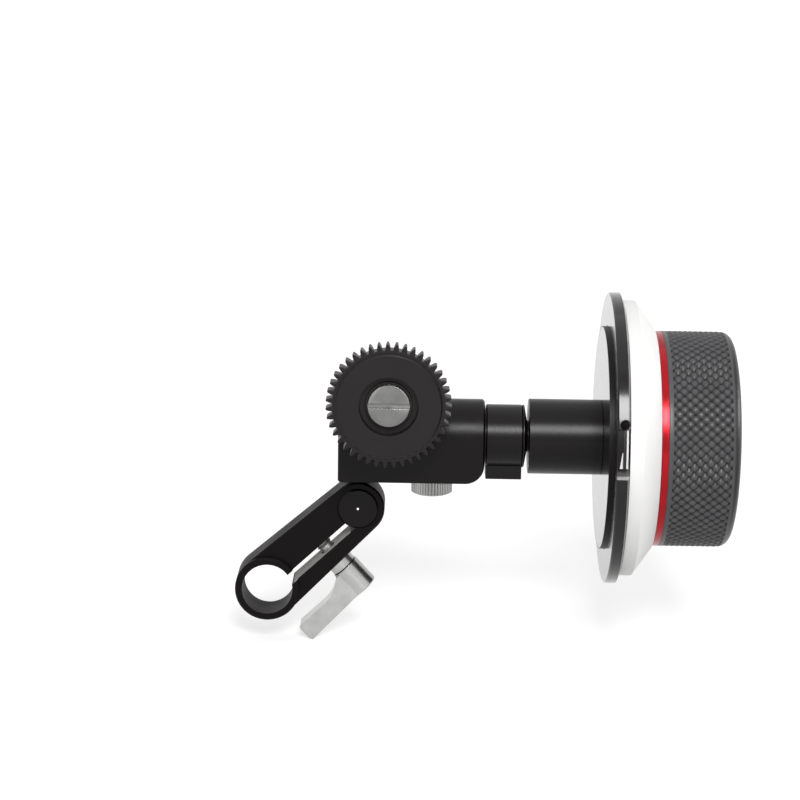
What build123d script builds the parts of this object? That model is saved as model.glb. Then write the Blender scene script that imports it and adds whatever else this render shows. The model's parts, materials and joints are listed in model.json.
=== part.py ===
"""Single-sided follow focus unit on a swinging 15 mm rod link.

The frame: +X runs along the handwheel's axis to the wheel, +Y runs back along the rod and the lens, +Z is up.
The origin is the centre of the rod bore, in the middle of the link's thickness. Lengths are in millimetres.
"""

import os
from math import acos, asin, atan2, cos, hypot, pi, radians, sin, sqrt, tan

from build123d import *

os.makedirs("parts", exist_ok=True)

# ---------------------------------------------------------------- fits
running = 0.04  # radial gap of a shaft that turns in a bush or bearing
snug = 0.02  # radial gap of pieces that are pressed or screwed together
swing_gap = 0.3  # side gap between pieces that move past each other
slip_gap = 0.3  # radial gap of rings that slide over each other by hand

# ---------------------------------------------------------------- rod link
rod_bore_radius = 7.55
rod_end_wall = 2.05
rod_boss = 1.5  # proud of the link's front, round the rod
link_length = 36.5  # rod bore to swing post, centre to centre
link_angle = 42.9  # of that line above the horizontal
link_thickness = 11.0
link_edge = 0.5
slit_width = 3.05
slit_offset = 2.4  # of the slit's middle below the link's centre line
post_radius = 6.0
post_end_wall = 1.9
post_proud = 0.4
post_edge = 0.5
post_dimple_radius = 0.7
clamp_screw_along = 20.6  # from the rod bore's centre, along the link
clamp_screw_radius = 2.5
clamp_screw_reach = 6.0  # past the centre line, into the upper jaw

# ---------------------------------------------------------------- clamp lever
spot_face_radius = 4.4
spot_face_depth = 0.2
lever_collar_radius = 4.0
lever_collar_length = 2.6
lever_hub_radius = 4.3
lever_hub_length = 9.2
lever_reach = 22.6  # screw axis to the handle's end
lever_thickness = 4.7
lever_lean = 1.1  # how much further out the handle's end stands
lever_elbow = 8.1  # from the hub's side to where the handle's inner side turns straight
lever_width = 7.0
lever_edge = 0.8
lever_screw_radius = 1.5
lever_screw_head_radius = 2.9
lever_screw_length = 7.0

# ---------------------------------------------------------------- gear train
train_module = 0.68
train_teeth = 20
train_backlash = 0.12
pressure_angle = 20.0
tooth_clearance = 0.25  # root depth past the mating tip, in modules
bevel_face = 2.5
bevel_backing = 0.4
bevel_hub_radius = 5.2
bevel_hub_length = 3.3
spur_width = 3.2
spur_front = 8.0
chamber_gap = 0.3  # around the gears
rear_gap = 0.6  # behind them
idler_shaft_radius = 2.5
idler_bush_radius = 3.5
idler_bush_length = 2.0
idler_spacer_radius = 3.3
output_shaft_radius = 3.0
output_end_radius = 2.5
output_bush_radius = 4.2
output_bush_length = 7.3
plate_bush_length = 3.2
bevel_pin_radius = 0.75

# ---------------------------------------------------------------- gearbox housing
post_to_gear_axis = 8.97  # across
post_to_wheel_axis = 23.0  # up
housing_round = 10.6  # radius of the top, about the wheel axis
housing_crease = 0.95  # height above the wheel axis where the round meets the flat front
housing_bottom = 12.2
housing_left = 14.67
housing_right = 27.83
housing_rear_top = 8.4  # height of the rear top edge; the top slopes down to it
housing_corner = 5.6
housing_edge = 0.5
housing_wall = 1.8
nose_radius = 7.4
gear_clearance = 0.8  # nose to the drive gear's back

# ---------------------------------------------------------------- rear plate
plate_thickness = 4.0
plate_inset = 0.6  # of the plate's outline from the housing's
plate_top_inset = 0.4
plate_right = 16.43
plate_corner = 2.0
post_lug_wall = 0.4
lug_root_radius = 4.0
lug_root_inset = 0.2
plate_screw_inset = 3.0
plate_screw_radius = 1.25
plate_screw_head_radius = 2.3
plate_screw_length = 9.0
post_screw_radius = 2.0
post_screw_head_radius = 3.9
post_screw_length = 11.0

# ---------------------------------------------------------------- drive gear
drive_module = 0.8
drive_teeth = 43
drive_turn = 1.5  # of the gear at rest, in degrees
drive_backlash = 0.22
drive_tip_trim = 0.15  # the tips stop short of the full module
drive_root = 1.35  # root depth below the pitch circle, in modules
drive_face = 25.0  # wheel axis to the front of the teeth
drive_width = 4.8
drive_edge = 0.3
hub_disc_step = 2.0  # of the hub disc's edge below the pitch circle
hub_disc_proud = 0.8
hub_disc_edge = 0.6
counterbore_wall = 1.7
counterbore_depth = 3.4
seat_ring_wall = 0.7
seat_ring_height = 0.6
drive_flat = 2.0  # shaft axis to the driving flat
gear_screw_head_radius = 6.0
gear_screw_head = 1.9
gear_screw_edge = 0.35
gear_screw_slot = 1.3
gear_screw_slot_depth = 1.0
gear_screw_radius = 1.5
gear_screw_length = 7.0

# ---------------------------------------------------------------- spindle and its tube
spindle_radius = 3.0
spindle_shoulder = 0.9
spindle_reach = 6.7  # into the wheel's hub
spindle_bush_wall = 1.7
spindle_bush_length = 6.0
bearing_wall = 4.5
bearing_width = 5.0
bearing_inset = 1.5
race_thickness = 1.4
bearing_ball_count = 8
clip_gap = 0.1
clip_thickness = 0.8
clip_groove = 0.4
clip_width = 1.4
clip_opening = 4.0
bore_gap = 0.6  # around the spindle inside the tube
spigot_wall = 2.0
spigot_inset = 5.4  # from the gear tunnel's end
tube_groove_wall = 1.0
tube_groove_width = 0.43
tube_length = 21.2
tube_radius = 11.0
tube_edge = 0.2
tube_hollow_radius = 7.0
tube_wall = 2.5
flange_rim = 0.5  # flange that the clamp collar's end faces
flange_rim_gap = 0.1
flange_cone = 0.87

# ---------------------------------------------------------------- clamp collar
neck_wall = 1.1
neck_short = 0.7  # of the collar's right end
neck_slit = 1.6
neck_shoulder = 0.2
collar_length = 10.5
collar_radius = 9.2
collar_edge = 0.25
lug_half_width = 4.2
lug_bottom = 12.2
collar_screw_radius = 1.0
collar_screw_head_radius = 1.8
collar_screw_head = 2.0
collar_screw_length = 7.0
collar_screw_drop = 10.4

# ---------------------------------------------------------------- friction screw
friction_at = 12.7
friction_head_radius = 6.0
friction_head_length = 5.0
friction_head_edge = 0.5
friction_grooves = 40
friction_groove_depth = 0.35
friction_shank_radius = 2.0
friction_pad_radius = 1.8
friction_pad_length = 2.4
friction_pad_gap = 0.05

# ---------------------------------------------------------------- index flange
flange_radius = 42.6
flange_edge = 0.4
flange_bevel = 0.5  # on the wheel's side of the rim
flange_bevel_drop = 1.2
flange_boss = 1.4
flange_thickness = 3.6
flange_boss_step = 10.0  # of the boss below the rim
flange_bore_gap = 1.1
flange_recess_rim = 12.9
flange_recess_depth = 1.2
flange_screw_circle = 9.5
flange_screw_radius = 1.0
flange_screw_head_radius = 1.9
flange_screw_length = 8.0
window_low = -2.2  # window's lower end, from the wheel axis
window_ramp = 2.9  # height of the slope at that end
window_high = 11.6
window_depth = 2.6
window_lip = 0.2  # left of the window, where the rim stays whole
index_inset = 0.7  # marker face below the rim
strip_width = 0.9
strip_from_right = 1.5
strip_height = 0.5
index_screw_radius = 0.6
index_screw_head_radius = 1.35
index_screw_proud = 0.5  # ball's centre above the rim
index_screw_rise = 1.3  # above the window's top
index_screw_length = 1.6

# ---------------------------------------------------------------- marking disc and its magnets
disc_gap = 0.7  # index flange to the marking disc
disc_step = 2.3  # of the disc's edge below the flange's rim
disc_wall = 1.7
disc_band = 3.4
disc_lip = 0.7
disc_end_gap = 0.2
magnet_count = 6
magnet_radius = 3.0
magnet_length = 2.0
magnet_edge = 0.8
keeper_gap = 0.1
keeper_thickness = 0.8

# ---------------------------------------------------------------- wheel
wheel_gap = 0.8  # index flange to the wheel's hub
hub_flange_thickness = 2.4
hub_drum_length = 6.7
hub_boss_radius = 10.0
hub_web = 4.0
hub_wall = 2.0
wheel_radius = 31.5
wheel_length = 20.6
wheel_round = 3.4
knurl_pitch = 4.9
knurl_depth = 0.5
knurl_core = 1.5  # depth to which the knurled band reaches into the wheel
band_beside_ring = 1.3  # smooth band between the red ring and the knurl
band_at_end = 2.7  # from the knurl to the wheel's outer face
wheel_wall = 5.5
wheel_web = 3.0
wheel_web_bore_radius = 8.2
wheel_spigot_wall = 4.5
wheel_spigot_length = 4.6
red_ring_width = 2.0
pillar_radius = 4.5
pillar_overlap = 1.0  # of the pillars into the wheel's wall
cap_thickness = 3.0
cap_sunk = 1.4
cap_edge = 0.5
cap_boss_radius = 7.5
socket_width = 6.5
socket_depth = 9.0
socket_floor = 1.0
cap_screw_radius = 1.25
cap_screw_head_radius = 2.3
cap_screw_length = 7.0
wheel_screw_radius = 1.5
wheel_screw_head_radius = 2.75
wheel_screw_head = 3.0
wheel_screw_length = 6.0
wheel_screw_circle = 18.0
spindle_screw_radius = 1.5
spindle_screw_head_radius = 2.75
spindle_screw_head = 3.0
spindle_screw_length = 8.0
spindle_washer_radius = 4.5
spindle_washer_thickness = 0.8

# ---------------------------------------------------------------- sizes that follow
rod_end_radius = rod_bore_radius + rod_end_wall
post_end_radius = post_radius + post_end_wall
train_pitch_radius = train_module * train_teeth / 2
gear_rise = 2 * train_pitch_radius  # drive gear's axis above the wheel axis
train_tip_radius = train_pitch_radius + train_module
train_root = (1 + tooth_clearance) * train_module
bevel_hub_end = train_pitch_radius + bevel_hub_length
chamber_radius = train_tip_radius + chamber_gap
chamber_front = train_pitch_radius + bevel_backing + chamber_gap
tunnel_end = bevel_hub_end + swing_gap
lobe_front = spur_front - bevel_backing
housing_front = sqrt(housing_round**2 - housing_crease**2)
housing_rear = spur_front + spur_width + rear_gap
boss_radius = chamber_radius + housing_wall
plate_left = housing_left - plate_inset
plate_bottom = housing_bottom - plate_inset
plate_top = housing_rear_top - plate_top_inset
plate_boss_radius = boss_radius - plate_inset
post_lug_radius = post_radius + post_lug_wall
drive_pitch_radius = drive_module * drive_teeth / 2
drive_tip = drive_pitch_radius + drive_module - drive_tip_trim
hub_disc_radius = drive_pitch_radius - hub_disc_step
seat_ring_radius = gear_screw_head_radius + seat_ring_wall
counterbore_radius = seat_ring_radius + counterbore_wall
nose_front = drive_face - drive_width - gear_clearance

spindle_shoulder_radius = spindle_radius + spindle_shoulder
spindle_bush_radius = spindle_radius + spindle_bush_wall
bearing_radius = spindle_radius + bearing_wall
clip_inner_radius = bearing_radius - clip_width
tube_bore_radius = spindle_radius + bore_gap
tube_groove_radius = tube_bore_radius + tube_groove_wall
spigot_radius = spindle_bush_radius + spigot_wall
neck_radius = spigot_radius + neck_wall
neck_shoulder_radius = collar_radius - collar_edge
spigot_start = tunnel_end + spigot_inset
collar_left = housing_right + neck_shoulder + swing_gap
collar_right = collar_left + collar_length
neck_end = collar_right - neck_short
rim_left = collar_right + flange_rim_gap
rim_right = rim_left + flange_rim
cone_end = rim_right + flange_cone
tube_left = cone_end + tube_groove_width
tube_right = tube_left + tube_length
bearing_right = tube_right - bearing_inset

flange_step = tube_right + flange_boss
flange_right = flange_step + flange_thickness
flange_boss_radius = flange_radius - flange_boss_step
flange_recess_radius = flange_radius - flange_recess_rim
flange_bore_radius = spindle_shoulder_radius + flange_bore_gap
hub_left = flange_right + wheel_gap
hub_flange_right = hub_left + hub_flange_thickness
spindle_end = hub_left + spindle_reach
red_ring_left = hub_flange_right + hub_drum_length
wheel_left = red_ring_left + red_ring_width
wheel_right = wheel_left + wheel_length
wheel_web_right = wheel_left + wheel_spigot_length + wheel_web
wheel_cavity_radius = wheel_radius - wheel_wall
wheel_spigot_radius = wheel_radius - wheel_spigot_wall
knurl_left = wheel_left + band_beside_ring
knurl_right = wheel_right - band_at_end
knurl_rows = round(2 * (knurl_right - knurl_left) / knurl_pitch)
knurl_count = round(2 * pi * wheel_radius / knurl_pitch)
hub_hollow_radius = wheel_spigot_radius - hub_wall
pillar_circle = wheel_cavity_radius - pillar_radius + pillar_overlap
cap_right = wheel_right - cap_sunk
cap_left = cap_right - cap_thickness
disc_radius = flange_radius - disc_step
disc_seat_radius = disc_radius - disc_wall
disc_bore_radius = wheel_radius + slip_gap
disc_cone_radius = disc_bore_radius + disc_lip
disc_left = flange_right + disc_gap
disc_cone_end = red_ring_left - disc_end_gap
hub_flange_radius = disc_seat_radius - slip_gap
magnet_circle = hub_flange_radius - magnet_radius - magnet_edge

# ---------------------------------------------------------------- places that follow
link_along = (cos(radians(link_angle)), 0, sin(radians(link_angle)))
link_across = (sin(radians(link_angle)), 0, -cos(radians(link_angle)))
post_x = link_length * link_along[0]
post_z = link_length * link_along[2]
gear_axis_x = post_x + post_to_gear_axis
wheel_axis_z = post_z + post_to_wheel_axis
plate_front = link_thickness / 2 + swing_gap
wheel_axis_y = plate_front - housing_rear
centre = (gear_axis_x, wheel_axis_y, wheel_axis_z)
link_taper = asin((rod_end_radius - post_end_radius) / link_length)  # of the link's flanks
flank_at_screw = (rod_end_radius - clamp_screw_along * sin(link_taper)) / cos(link_taper)
lever_seat = flank_at_screw - spot_face_depth  # link's centre line to the spot face under the lever
lug_root = (lug_root_radius + lug_root_inset - plate_left, lug_root_radius + lug_root_inset - plate_bottom)
plate_screw_spots = [
    (across, up)
    for across in (plate_screw_inset - plate_left, plate_right - plate_screw_inset)
    for up in (plate_screw_inset - plate_bottom, plate_top - plate_screw_inset)
]


def link_plane(y):
    """Plane facing the front at depth y, with local x along the link from the rod to the post."""
    return Plane(origin=(0, y, 0), x_dir=link_along, z_dir=(0, -1, 0))


def clamp_plane(depth):
    """Plane square to the clamp screw, depth below the link's centre line, facing the lever."""
    place = [clamp_screw_along * a + depth * n for a, n in zip(link_along, link_across)]
    return Plane(origin=place, x_dir=link_along, z_dir=link_across)


def facing_front(y):
    """Plane facing the front, y behind the wheel axis; local x is +X from the gear axis, local y is +Z."""
    return Plane(origin=(gear_axis_x, wheel_axis_y + y, wheel_axis_z), x_dir=(1, 0, 0), z_dir=(0, -1, 0))


def facing_back(y):
    """Plane facing the rear, y behind the wheel axis; local x is +X from the gear axis, local y is -Z."""
    return Plane(origin=(gear_axis_x, wheel_axis_y + y, wheel_axis_z), x_dir=(1, 0, 0), z_dir=(0, 1, 0))


def from_behind(spots):
    """The same places, given as (across, up), on a plane that faces the rear."""
    return [(across, -up) for across, up in spots]


def gear_plane(y):
    """Plane facing the front, centred on the drive gear's axis."""
    place = (gear_axis_x, wheel_axis_y + y, wheel_axis_z + gear_rise)
    return Plane(origin=place, x_dir=(1, 0, 0), z_dir=(0, -1, 0))


def facing_right(x):
    """Plane facing the handwheel, x right of the gear axis; local x is +Y, local y is +Z."""
    return Plane(origin=(gear_axis_x + x, wheel_axis_y, wheel_axis_z), x_dir=(0, 1, 0), z_dir=(1, 0, 0))


def facing_up(z):
    """Plane facing up, z above the wheel axis; local x is +X, local y is +Y."""
    return Plane(origin=(gear_axis_x, wheel_axis_y, wheel_axis_z + z), x_dir=(1, 0, 0), z_dir=(0, 0, 1))


# Half-profiles are drawn as (along the axis, radius) corners on the plane that holds the axis.
wheel_axis = Axis(centre, (1, 0, 0))
wheel_profile = facing_front(0)
idler_axis = Axis(centre, (0, 1, 0))
idler_profile = facing_right(0)
gear_axis = Axis((gear_axis_x, wheel_axis_y, wheel_axis_z + gear_rise), (0, 1, 0))
gear_profile = Plane(origin=gear_axis.position, x_dir=(0, 1, 0), z_dir=(1, 0, 0))
post_axis = Axis((post_x, 0, post_z), (0, 1, 0))
post_profile = Plane(origin=post_axis.position, x_dir=(0, 1, 0), z_dir=(1, 0, 0))
clamp_axis = Axis(clamp_plane(0).origin, link_across)
clamp_profile = Plane(origin=clamp_plane(0).origin, x_dir=link_across, z_dir=(0, 1, 0))


def turned(profile, axis, *corners, mode=Mode.ADD):
    """Revolve a closed half-profile about its axis, into or out of the piece being made."""
    with BuildSketch(profile) as outline:
        with BuildLine():
            Polyline(*corners, close=True)
        make_face()
    revolve(outline.sketch, axis=axis, mode=mode)


def ring(profile, axis, start, end, outer, inner=0.0, mode=Mode.ADD):
    """A plain tube or rod between two places along an axis."""
    turned(profile, axis, (start, inner), (end, inner), (end, outer), (start, outer), mode=mode)


def round_hole(plane, spots, radius, depth):
    """Straight holes into the piece, from the plane against its normal."""
    with BuildSketch(plane) as holes:
        with Locations(*spots):
            Circle(radius)
    extrude(holes.sketch, amount=-depth, mode=Mode.SUBTRACT)


def screw_seat(plane, spots, radius, head_radius, length):
    """Countersunk clearance holes whose heads lie flush with the plane."""
    with Locations(plane):
        with Locations(*spots):
            CounterSinkHole(radius + snug, head_radius + snug, depth=length, counter_sink_angle=90)


def countersunk_screws(plane, spots, radius, head_radius, length):
    """Countersunk screws with a hexagon socket, flush with the plane, their shanks against its normal."""
    head = head_radius - radius
    socket = 0.45 * head_radius
    with BuildSketch(plane) as tops:
        with Locations(*spots):
            Circle(head_radius)
    extrude(tops.sketch, amount=-head, taper=45)
    with BuildSketch(plane) as shanks:
        with Locations(*spots):
            Circle(radius)
    extrude(shanks.sketch, amount=-length)
    with BuildSketch(plane) as sockets:
        with Locations(*spots):
            RegularPolygon(socket, 6)
    extrude(sockets.sketch, amount=-0.9 * head, mode=Mode.SUBTRACT)


def cap_screws(plane, spots, radius, head_radius, head, length):
    """Cap screws with a hexagon socket, their heads standing on the plane and shanks against its normal."""
    with BuildSketch(plane) as shanks:
        with Locations(*spots):
            Circle(radius)
    extrude(shanks.sketch, amount=-length)
    with BuildSketch(plane) as heads:
        with Locations(*spots):
            Circle(head_radius)
            RegularPolygon(0.55 * head_radius, 6, mode=Mode.SUBTRACT)
    extrude(heads.sketch, amount=head)
    with BuildSketch(plane) as floors:
        with Locations(*spots):
            Circle(head_radius)
    extrude(floors.sketch, amount=0.35 * head)


def spots_on_circle(count, radius, start=90.0):
    """Places evenly spaced around a circle."""
    angles = [radians(start + 360 * i / count) for i in range(count)]
    return [(radius * cos(a), radius * sin(a)) for a in angles]


def involute(angle):
    return tan(angle) - angle


def tooth_points(teeth, module, backlash, addendum, dedendum, turn_by=0.0):
    """Points around a gear with involute flanks; one tooth points along local x, turned by turn_by."""
    pitch = module * teeth / 2
    base = pitch * cos(radians(pressure_angle))
    root = pitch - dedendum
    tip = pitch + addendum
    half_at_pitch = (pi * module / 2 - backlash) / 2 / pitch
    levels = [root] + [base + (tip - base) * t for t in (0.0, 0.35, 0.7, 1.0) if base > root or t > 0]

    def half_angle(radius):
        at = acos(min(1.0, base / max(radius, base)))
        return half_at_pitch + involute(radians(pressure_angle)) - involute(at)

    points = []
    for i in range(teeth):
        middle = 2 * pi * i / teeth + radians(turn_by)
        rising = [(r, middle - half_angle(r)) for r in levels]
        falling = [(r, middle + half_angle(r)) for r in reversed(levels)]
        points += [(r * cos(a), r * sin(a)) for r, a in rising + falling]
    return points


def spur_teeth(plane, teeth, module, backlash, addendum, dedendum, width, turn_by=0.0):
    """The toothed body of a spur gear, from the plane along its normal."""
    points = tooth_points(teeth, module, backlash, addendum, dedendum, turn_by)
    with BuildSketch(plane) as outline:
        with BuildLine():
            Polyline(*points, close=True)
        make_face()
    extrude(outline.sketch, amount=width)


def bevel_teeth(big_plane, small_plane, turn_by=0.0):
    """The toothed cone of a 45 degree bevel gear between its big and small ends."""
    big = train_pitch_radius
    share = (big - bevel_face) / big
    cone = cos(pi / 4)
    outline = tooth_points(
        train_teeth, train_module, train_backlash, train_module * cone, train_root * cone, turn_by
    )
    with BuildSketch(big_plane) as big_end:
        with BuildLine():
            Polyline(*outline, close=True)
        make_face()
    with BuildSketch(small_plane) as small_end:
        with BuildLine():
            Polyline(*[(share * x, share * y) for x, y in outline], close=True)
        make_face()
    loft([big_end.sketch, small_end.sketch], ruled=True)


def save(piece, name):
    """Label a finished piece and write its STEP file."""
    piece.part.label = name
    export_step(piece.part, f"parts/{name}.step")


# ================================================================ rod link
with BuildPart() as link_arm:
    with BuildSketch(link_plane(link_thickness / 2)):
        Circle(rod_end_radius)
        with Locations((link_length, 0)):
            Circle(post_end_radius)
        make_hull()
    extrude(amount=link_thickness)
    chamfer(link_arm.faces().filter_by(Axis.Y).edges(), link_edge)
    with BuildSketch(link_plane(link_edge - link_thickness / 2)):
        Circle(rod_end_radius)
    extrude(amount=link_edge + rod_boss)
    chamfer(link_arm.faces().sort_by(Axis.Y)[0].edges(), link_edge)
    with BuildSketch(link_plane(link_thickness / 2)):
        Circle(rod_bore_radius)
        with Locations((link_length, 0)):
            Circle(post_radius + running)
        with Locations((link_length / 2, -slit_offset)):
            Rectangle(link_length, slit_width)
    extrude(amount=link_thickness + rod_boss, mode=Mode.SUBTRACT)
    with BuildSketch(clamp_plane(rod_end_radius)):
        Circle(clamp_screw_radius + snug)
    extrude(amount=-rod_end_radius - clamp_screw_reach - snug, mode=Mode.SUBTRACT)
    with BuildSketch(clamp_plane(lever_seat)):
        Circle(spot_face_radius)
    extrude(amount=rod_end_radius - lever_seat, mode=Mode.SUBTRACT)
save(link_arm, "link_arm")

# ================================================================ clamp lever
collar_end = lever_seat + snug + lever_collar_length
hub_start = collar_end
hub_end = hub_start + lever_hub_length
stud_end = hub_end - lever_screw_head_radius

with BuildPart() as lever_collar:
    ring(
        clamp_profile,
        clamp_axis,
        lever_seat + snug,
        collar_end,
        lever_collar_radius,
        clamp_screw_radius + snug,
    )
save(lever_collar, "lever_collar")

with BuildPart() as clamp_screw:
    ring(clamp_profile, clamp_axis, -clamp_screw_reach, stud_end, clamp_screw_radius)
    ring(
        clamp_profile,
        clamp_axis,
        stud_end - lever_screw_length,
        stud_end,
        lever_screw_radius + snug,
        mode=Mode.SUBTRACT,
    )
save(clamp_screw, "clamp_screw")

lever_side = Plane(origin=clamp_plane(0).origin, x_dir=link_along, z_dir=(0, -1, 0))
handle_level = hub_end - lever_thickness
with BuildPart() as clamp_lever:
    turned(
        clamp_profile,
        clamp_axis,
        (hub_start, 0),
        (hub_end, 0),
        (hub_end, lever_hub_radius - lever_edge / 2),
        (hub_end - lever_edge / 2, lever_hub_radius),
        (hub_start + lever_edge / 2, lever_hub_radius),
        (hub_start, lever_hub_radius - lever_edge / 2),
    )
    with BuildSketch(lever_side):
        with BuildLine():
            Polyline(
                (-lever_hub_radius / 2, -hub_start - lever_edge),
                (-lever_hub_radius / 2, -hub_end),
                (-lever_hub_radius, -hub_end),
                (-lever_reach, -hub_end - lever_lean),
                (-lever_reach, -handle_level),
                (-lever_hub_radius - lever_elbow, -handle_level),
            )
            TangentArc(
                (-lever_hub_radius - lever_elbow, -handle_level),
                (-lever_hub_radius + lever_edge / 2, -hub_start - lever_edge),
                tangent=(1, 0),
            )
            Line(
                (-lever_hub_radius + lever_edge / 2, -hub_start - lever_edge),
                (-lever_hub_radius / 2, -hub_start - lever_edge),
            )
        make_face()
    extrude(amount=lever_width / 2, both=True)
    tip = clamp_lever.faces().sort_by(Axis(clamp_plane(0).origin, link_along))[0]
    chamfer(tip.edges(), lever_edge)
    ring(clamp_profile, clamp_axis, hub_start, stud_end, clamp_screw_radius + snug, mode=Mode.SUBTRACT)
    screw_seat(
        clamp_plane(hub_end), [(0, 0)], lever_screw_radius, lever_screw_head_radius, lever_screw_length
    )
save(clamp_lever, "clamp_lever")

with BuildPart() as lever_screw:
    countersunk_screws(
        clamp_plane(hub_end), [(0, 0)], lever_screw_radius, lever_screw_head_radius, lever_screw_length
    )
save(lever_screw, "lever_screw")

# ================================================================ gearbox housing
friction_hole_radius = friction_shank_radius + snug
slope_from_axis = hypot(housing_rear, housing_rear_top)
round_turn = atan2(housing_rear_top, housing_rear) + acos(housing_round / slope_from_axis)
round_end = (housing_round * cos(round_turn), housing_round * sin(round_turn))



def housing_section(x):
    """The housing's outline in a plane x right of the gear axis."""
    with BuildSketch(facing_right(x)) as section:
        with BuildLine():
            RadiusArc((-housing_front, housing_crease), round_end, housing_round)
            Polyline(
                round_end,
                (housing_rear, housing_rear_top),
                (housing_rear, -housing_bottom),
                (-housing_front, -housing_bottom),
                (-housing_front, housing_crease),
            )
        make_face()
    return section.sketch


with BuildPart() as gearbox_housing:
    left_edge = housing_section(housing_edge - housing_left)
    extrude(left_edge, amount=housing_left + housing_right - 2 * housing_edge)
    extrude(left_edge, amount=-housing_edge, taper=45)
    extrude(housing_section(housing_right - housing_edge), amount=housing_edge, taper=45)
    with BuildSketch(facing_front(housing_rear)):
        with Locations((housing_right - housing_corner / 2, housing_corner / 2 - housing_bottom)):
            Rectangle(housing_corner, housing_corner)
        with Locations((housing_right - housing_corner, housing_corner - housing_bottom)):
            Circle(housing_corner, mode=Mode.SUBTRACT)
    extrude(amount=housing_rear + housing_front, mode=Mode.SUBTRACT)
    with BuildSketch(facing_front(housing_rear)):
        with Locations((0, gear_rise)):
            Circle(boss_radius)
    extrude(amount=housing_rear + housing_front)
    ring(gear_profile, gear_axis, -nose_front, 0, nose_radius)
    ring(wheel_profile, wheel_axis, housing_right - housing_edge, neck_end, neck_radius)
    ring(
        wheel_profile,
        wheel_axis,
        housing_right - housing_edge,
        housing_right + neck_shoulder,
        neck_shoulder_radius,
    )
    # the gear chamber: a round well for the idler and a tunnel for the spindle's bevel gear, open behind
    ring(idler_profile, idler_axis, -chamber_front, housing_rear, chamber_radius, mode=Mode.SUBTRACT)
    ring(wheel_profile, wheel_axis, 0, tunnel_end, chamber_radius, mode=Mode.SUBTRACT)
    with BuildSketch(facing_front(housing_rear)):
        with Locations((tunnel_end / 2, 0)):
            Rectangle(tunnel_end, 2 * chamber_radius)
    extrude(amount=housing_rear, mode=Mode.SUBTRACT)
    ring(gear_profile, gear_axis, lobe_front, housing_rear, chamber_radius, mode=Mode.SUBTRACT)
    # seats of the bushes, the spindle tube's spigot and the friction screw
    ring(
        idler_profile,
        idler_axis,
        -chamber_front - idler_bush_length,
        -chamber_front,
        idler_bush_radius + snug,
        mode=Mode.SUBTRACT,
    )
    ring(gear_profile, gear_axis, -nose_front, lobe_front, output_shaft_radius + slip_gap, mode=Mode.SUBTRACT)
    ring(
        gear_profile,
        gear_axis,
        -nose_front,
        -nose_front + output_bush_length,
        output_bush_radius + snug,
        mode=Mode.SUBTRACT,
    )
    ring(wheel_profile, wheel_axis, tunnel_end, spigot_start, spindle_radius + slip_gap, mode=Mode.SUBTRACT)
    ring(wheel_profile, wheel_axis, spigot_start - snug, neck_end, spigot_radius + snug, mode=Mode.SUBTRACT)
    round_hole(facing_up(0), [(friction_at, 0)], friction_hole_radius, housing_bottom)
    with BuildSketch(facing_up(0)):
        with Locations(((collar_left + neck_end) / 2, 0)):
            Rectangle(neck_end - collar_left, neck_slit)
    extrude(amount=-neck_radius, mode=Mode.SUBTRACT)
    with BuildSketch(facing_front(housing_rear)):
        with Locations(*plate_screw_spots):
            Circle(plate_screw_radius + snug)
    extrude(amount=plate_screw_length - plate_thickness + snug, mode=Mode.SUBTRACT)
save(gearbox_housing, "gearbox_housing")

# ================================================================ rear plate and swing post
plate_rear = housing_rear + plate_thickness
post_spot = (-post_to_gear_axis, -post_to_wheel_axis)

with BuildPart() as rear_plate:
    with BuildSketch(facing_front(plate_rear)):
        with Locations(((plate_right - plate_left) / 2, (plate_top - plate_bottom) / 2)):
            RectangleRounded(plate_left + plate_right, plate_bottom + plate_top, plate_corner)
        with Locations((0, gear_rise)):
            Circle(plate_boss_radius)
        with BuildSketch(mode=Mode.ADD):
            with Locations(post_spot):
                Circle(post_lug_radius)
            with Locations(lug_root):
                Circle(lug_root_radius)
            make_hull()
    extrude(amount=plate_thickness)
    back = rear_plate.faces().sort_by(Axis.Y)[-1]
    chamfer(back.edges(), housing_edge)
    # blind seats for the two rear bushes
    for rise in (0, gear_rise):
        with BuildSketch(facing_front(housing_rear)):
            with Locations((0, rise)):
                Circle(idler_bush_radius + snug)
        extrude(amount=-plate_bush_length, mode=Mode.SUBTRACT)
    screw_seat(
        facing_back(plate_rear),
        from_behind(plate_screw_spots),
        plate_screw_radius,
        plate_screw_head_radius,
        plate_screw_length,
    )
    screw_seat(
        facing_back(plate_rear),
        from_behind([post_spot]),
        post_screw_radius,
        post_screw_head_radius,
        post_screw_length,
    )
save(rear_plate, "rear_plate")

with BuildPart() as plate_screws:
    countersunk_screws(
        facing_back(plate_rear),
        from_behind(plate_screw_spots),
        plate_screw_radius,
        plate_screw_head_radius,
        plate_screw_length,
    )
save(plate_screws, "plate_screws")

with BuildPart() as post_screw:
    countersunk_screws(
        facing_back(plate_rear),
        from_behind([post_spot]),
        post_screw_radius,
        post_screw_head_radius,
        post_screw_length,
    )
save(post_screw, "post_screw")

post_front = -link_thickness / 2 - post_proud
with BuildPart() as swing_post:
    turned(
        post_profile,
        post_axis,
        (post_front, 0),
        (post_front, post_radius - post_edge),
        (post_front + post_edge, post_radius),
        (plate_front, post_radius),
        (plate_front, 0),
    )
    turned(
        post_profile,
        post_axis,
        (post_front, 0),
        (post_front, post_dimple_radius),
        (post_front + post_dimple_radius, 0),
        mode=Mode.SUBTRACT,
    )
    ring(
        post_profile,
        post_axis,
        plate_front - (post_screw_length - plate_thickness) - snug,
        plate_front,
        post_screw_radius + snug,
        mode=Mode.SUBTRACT,
    )
save(swing_post, "swing_post")

# ================================================================ gear train
front_bush = -chamber_front - idler_bush_length

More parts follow.
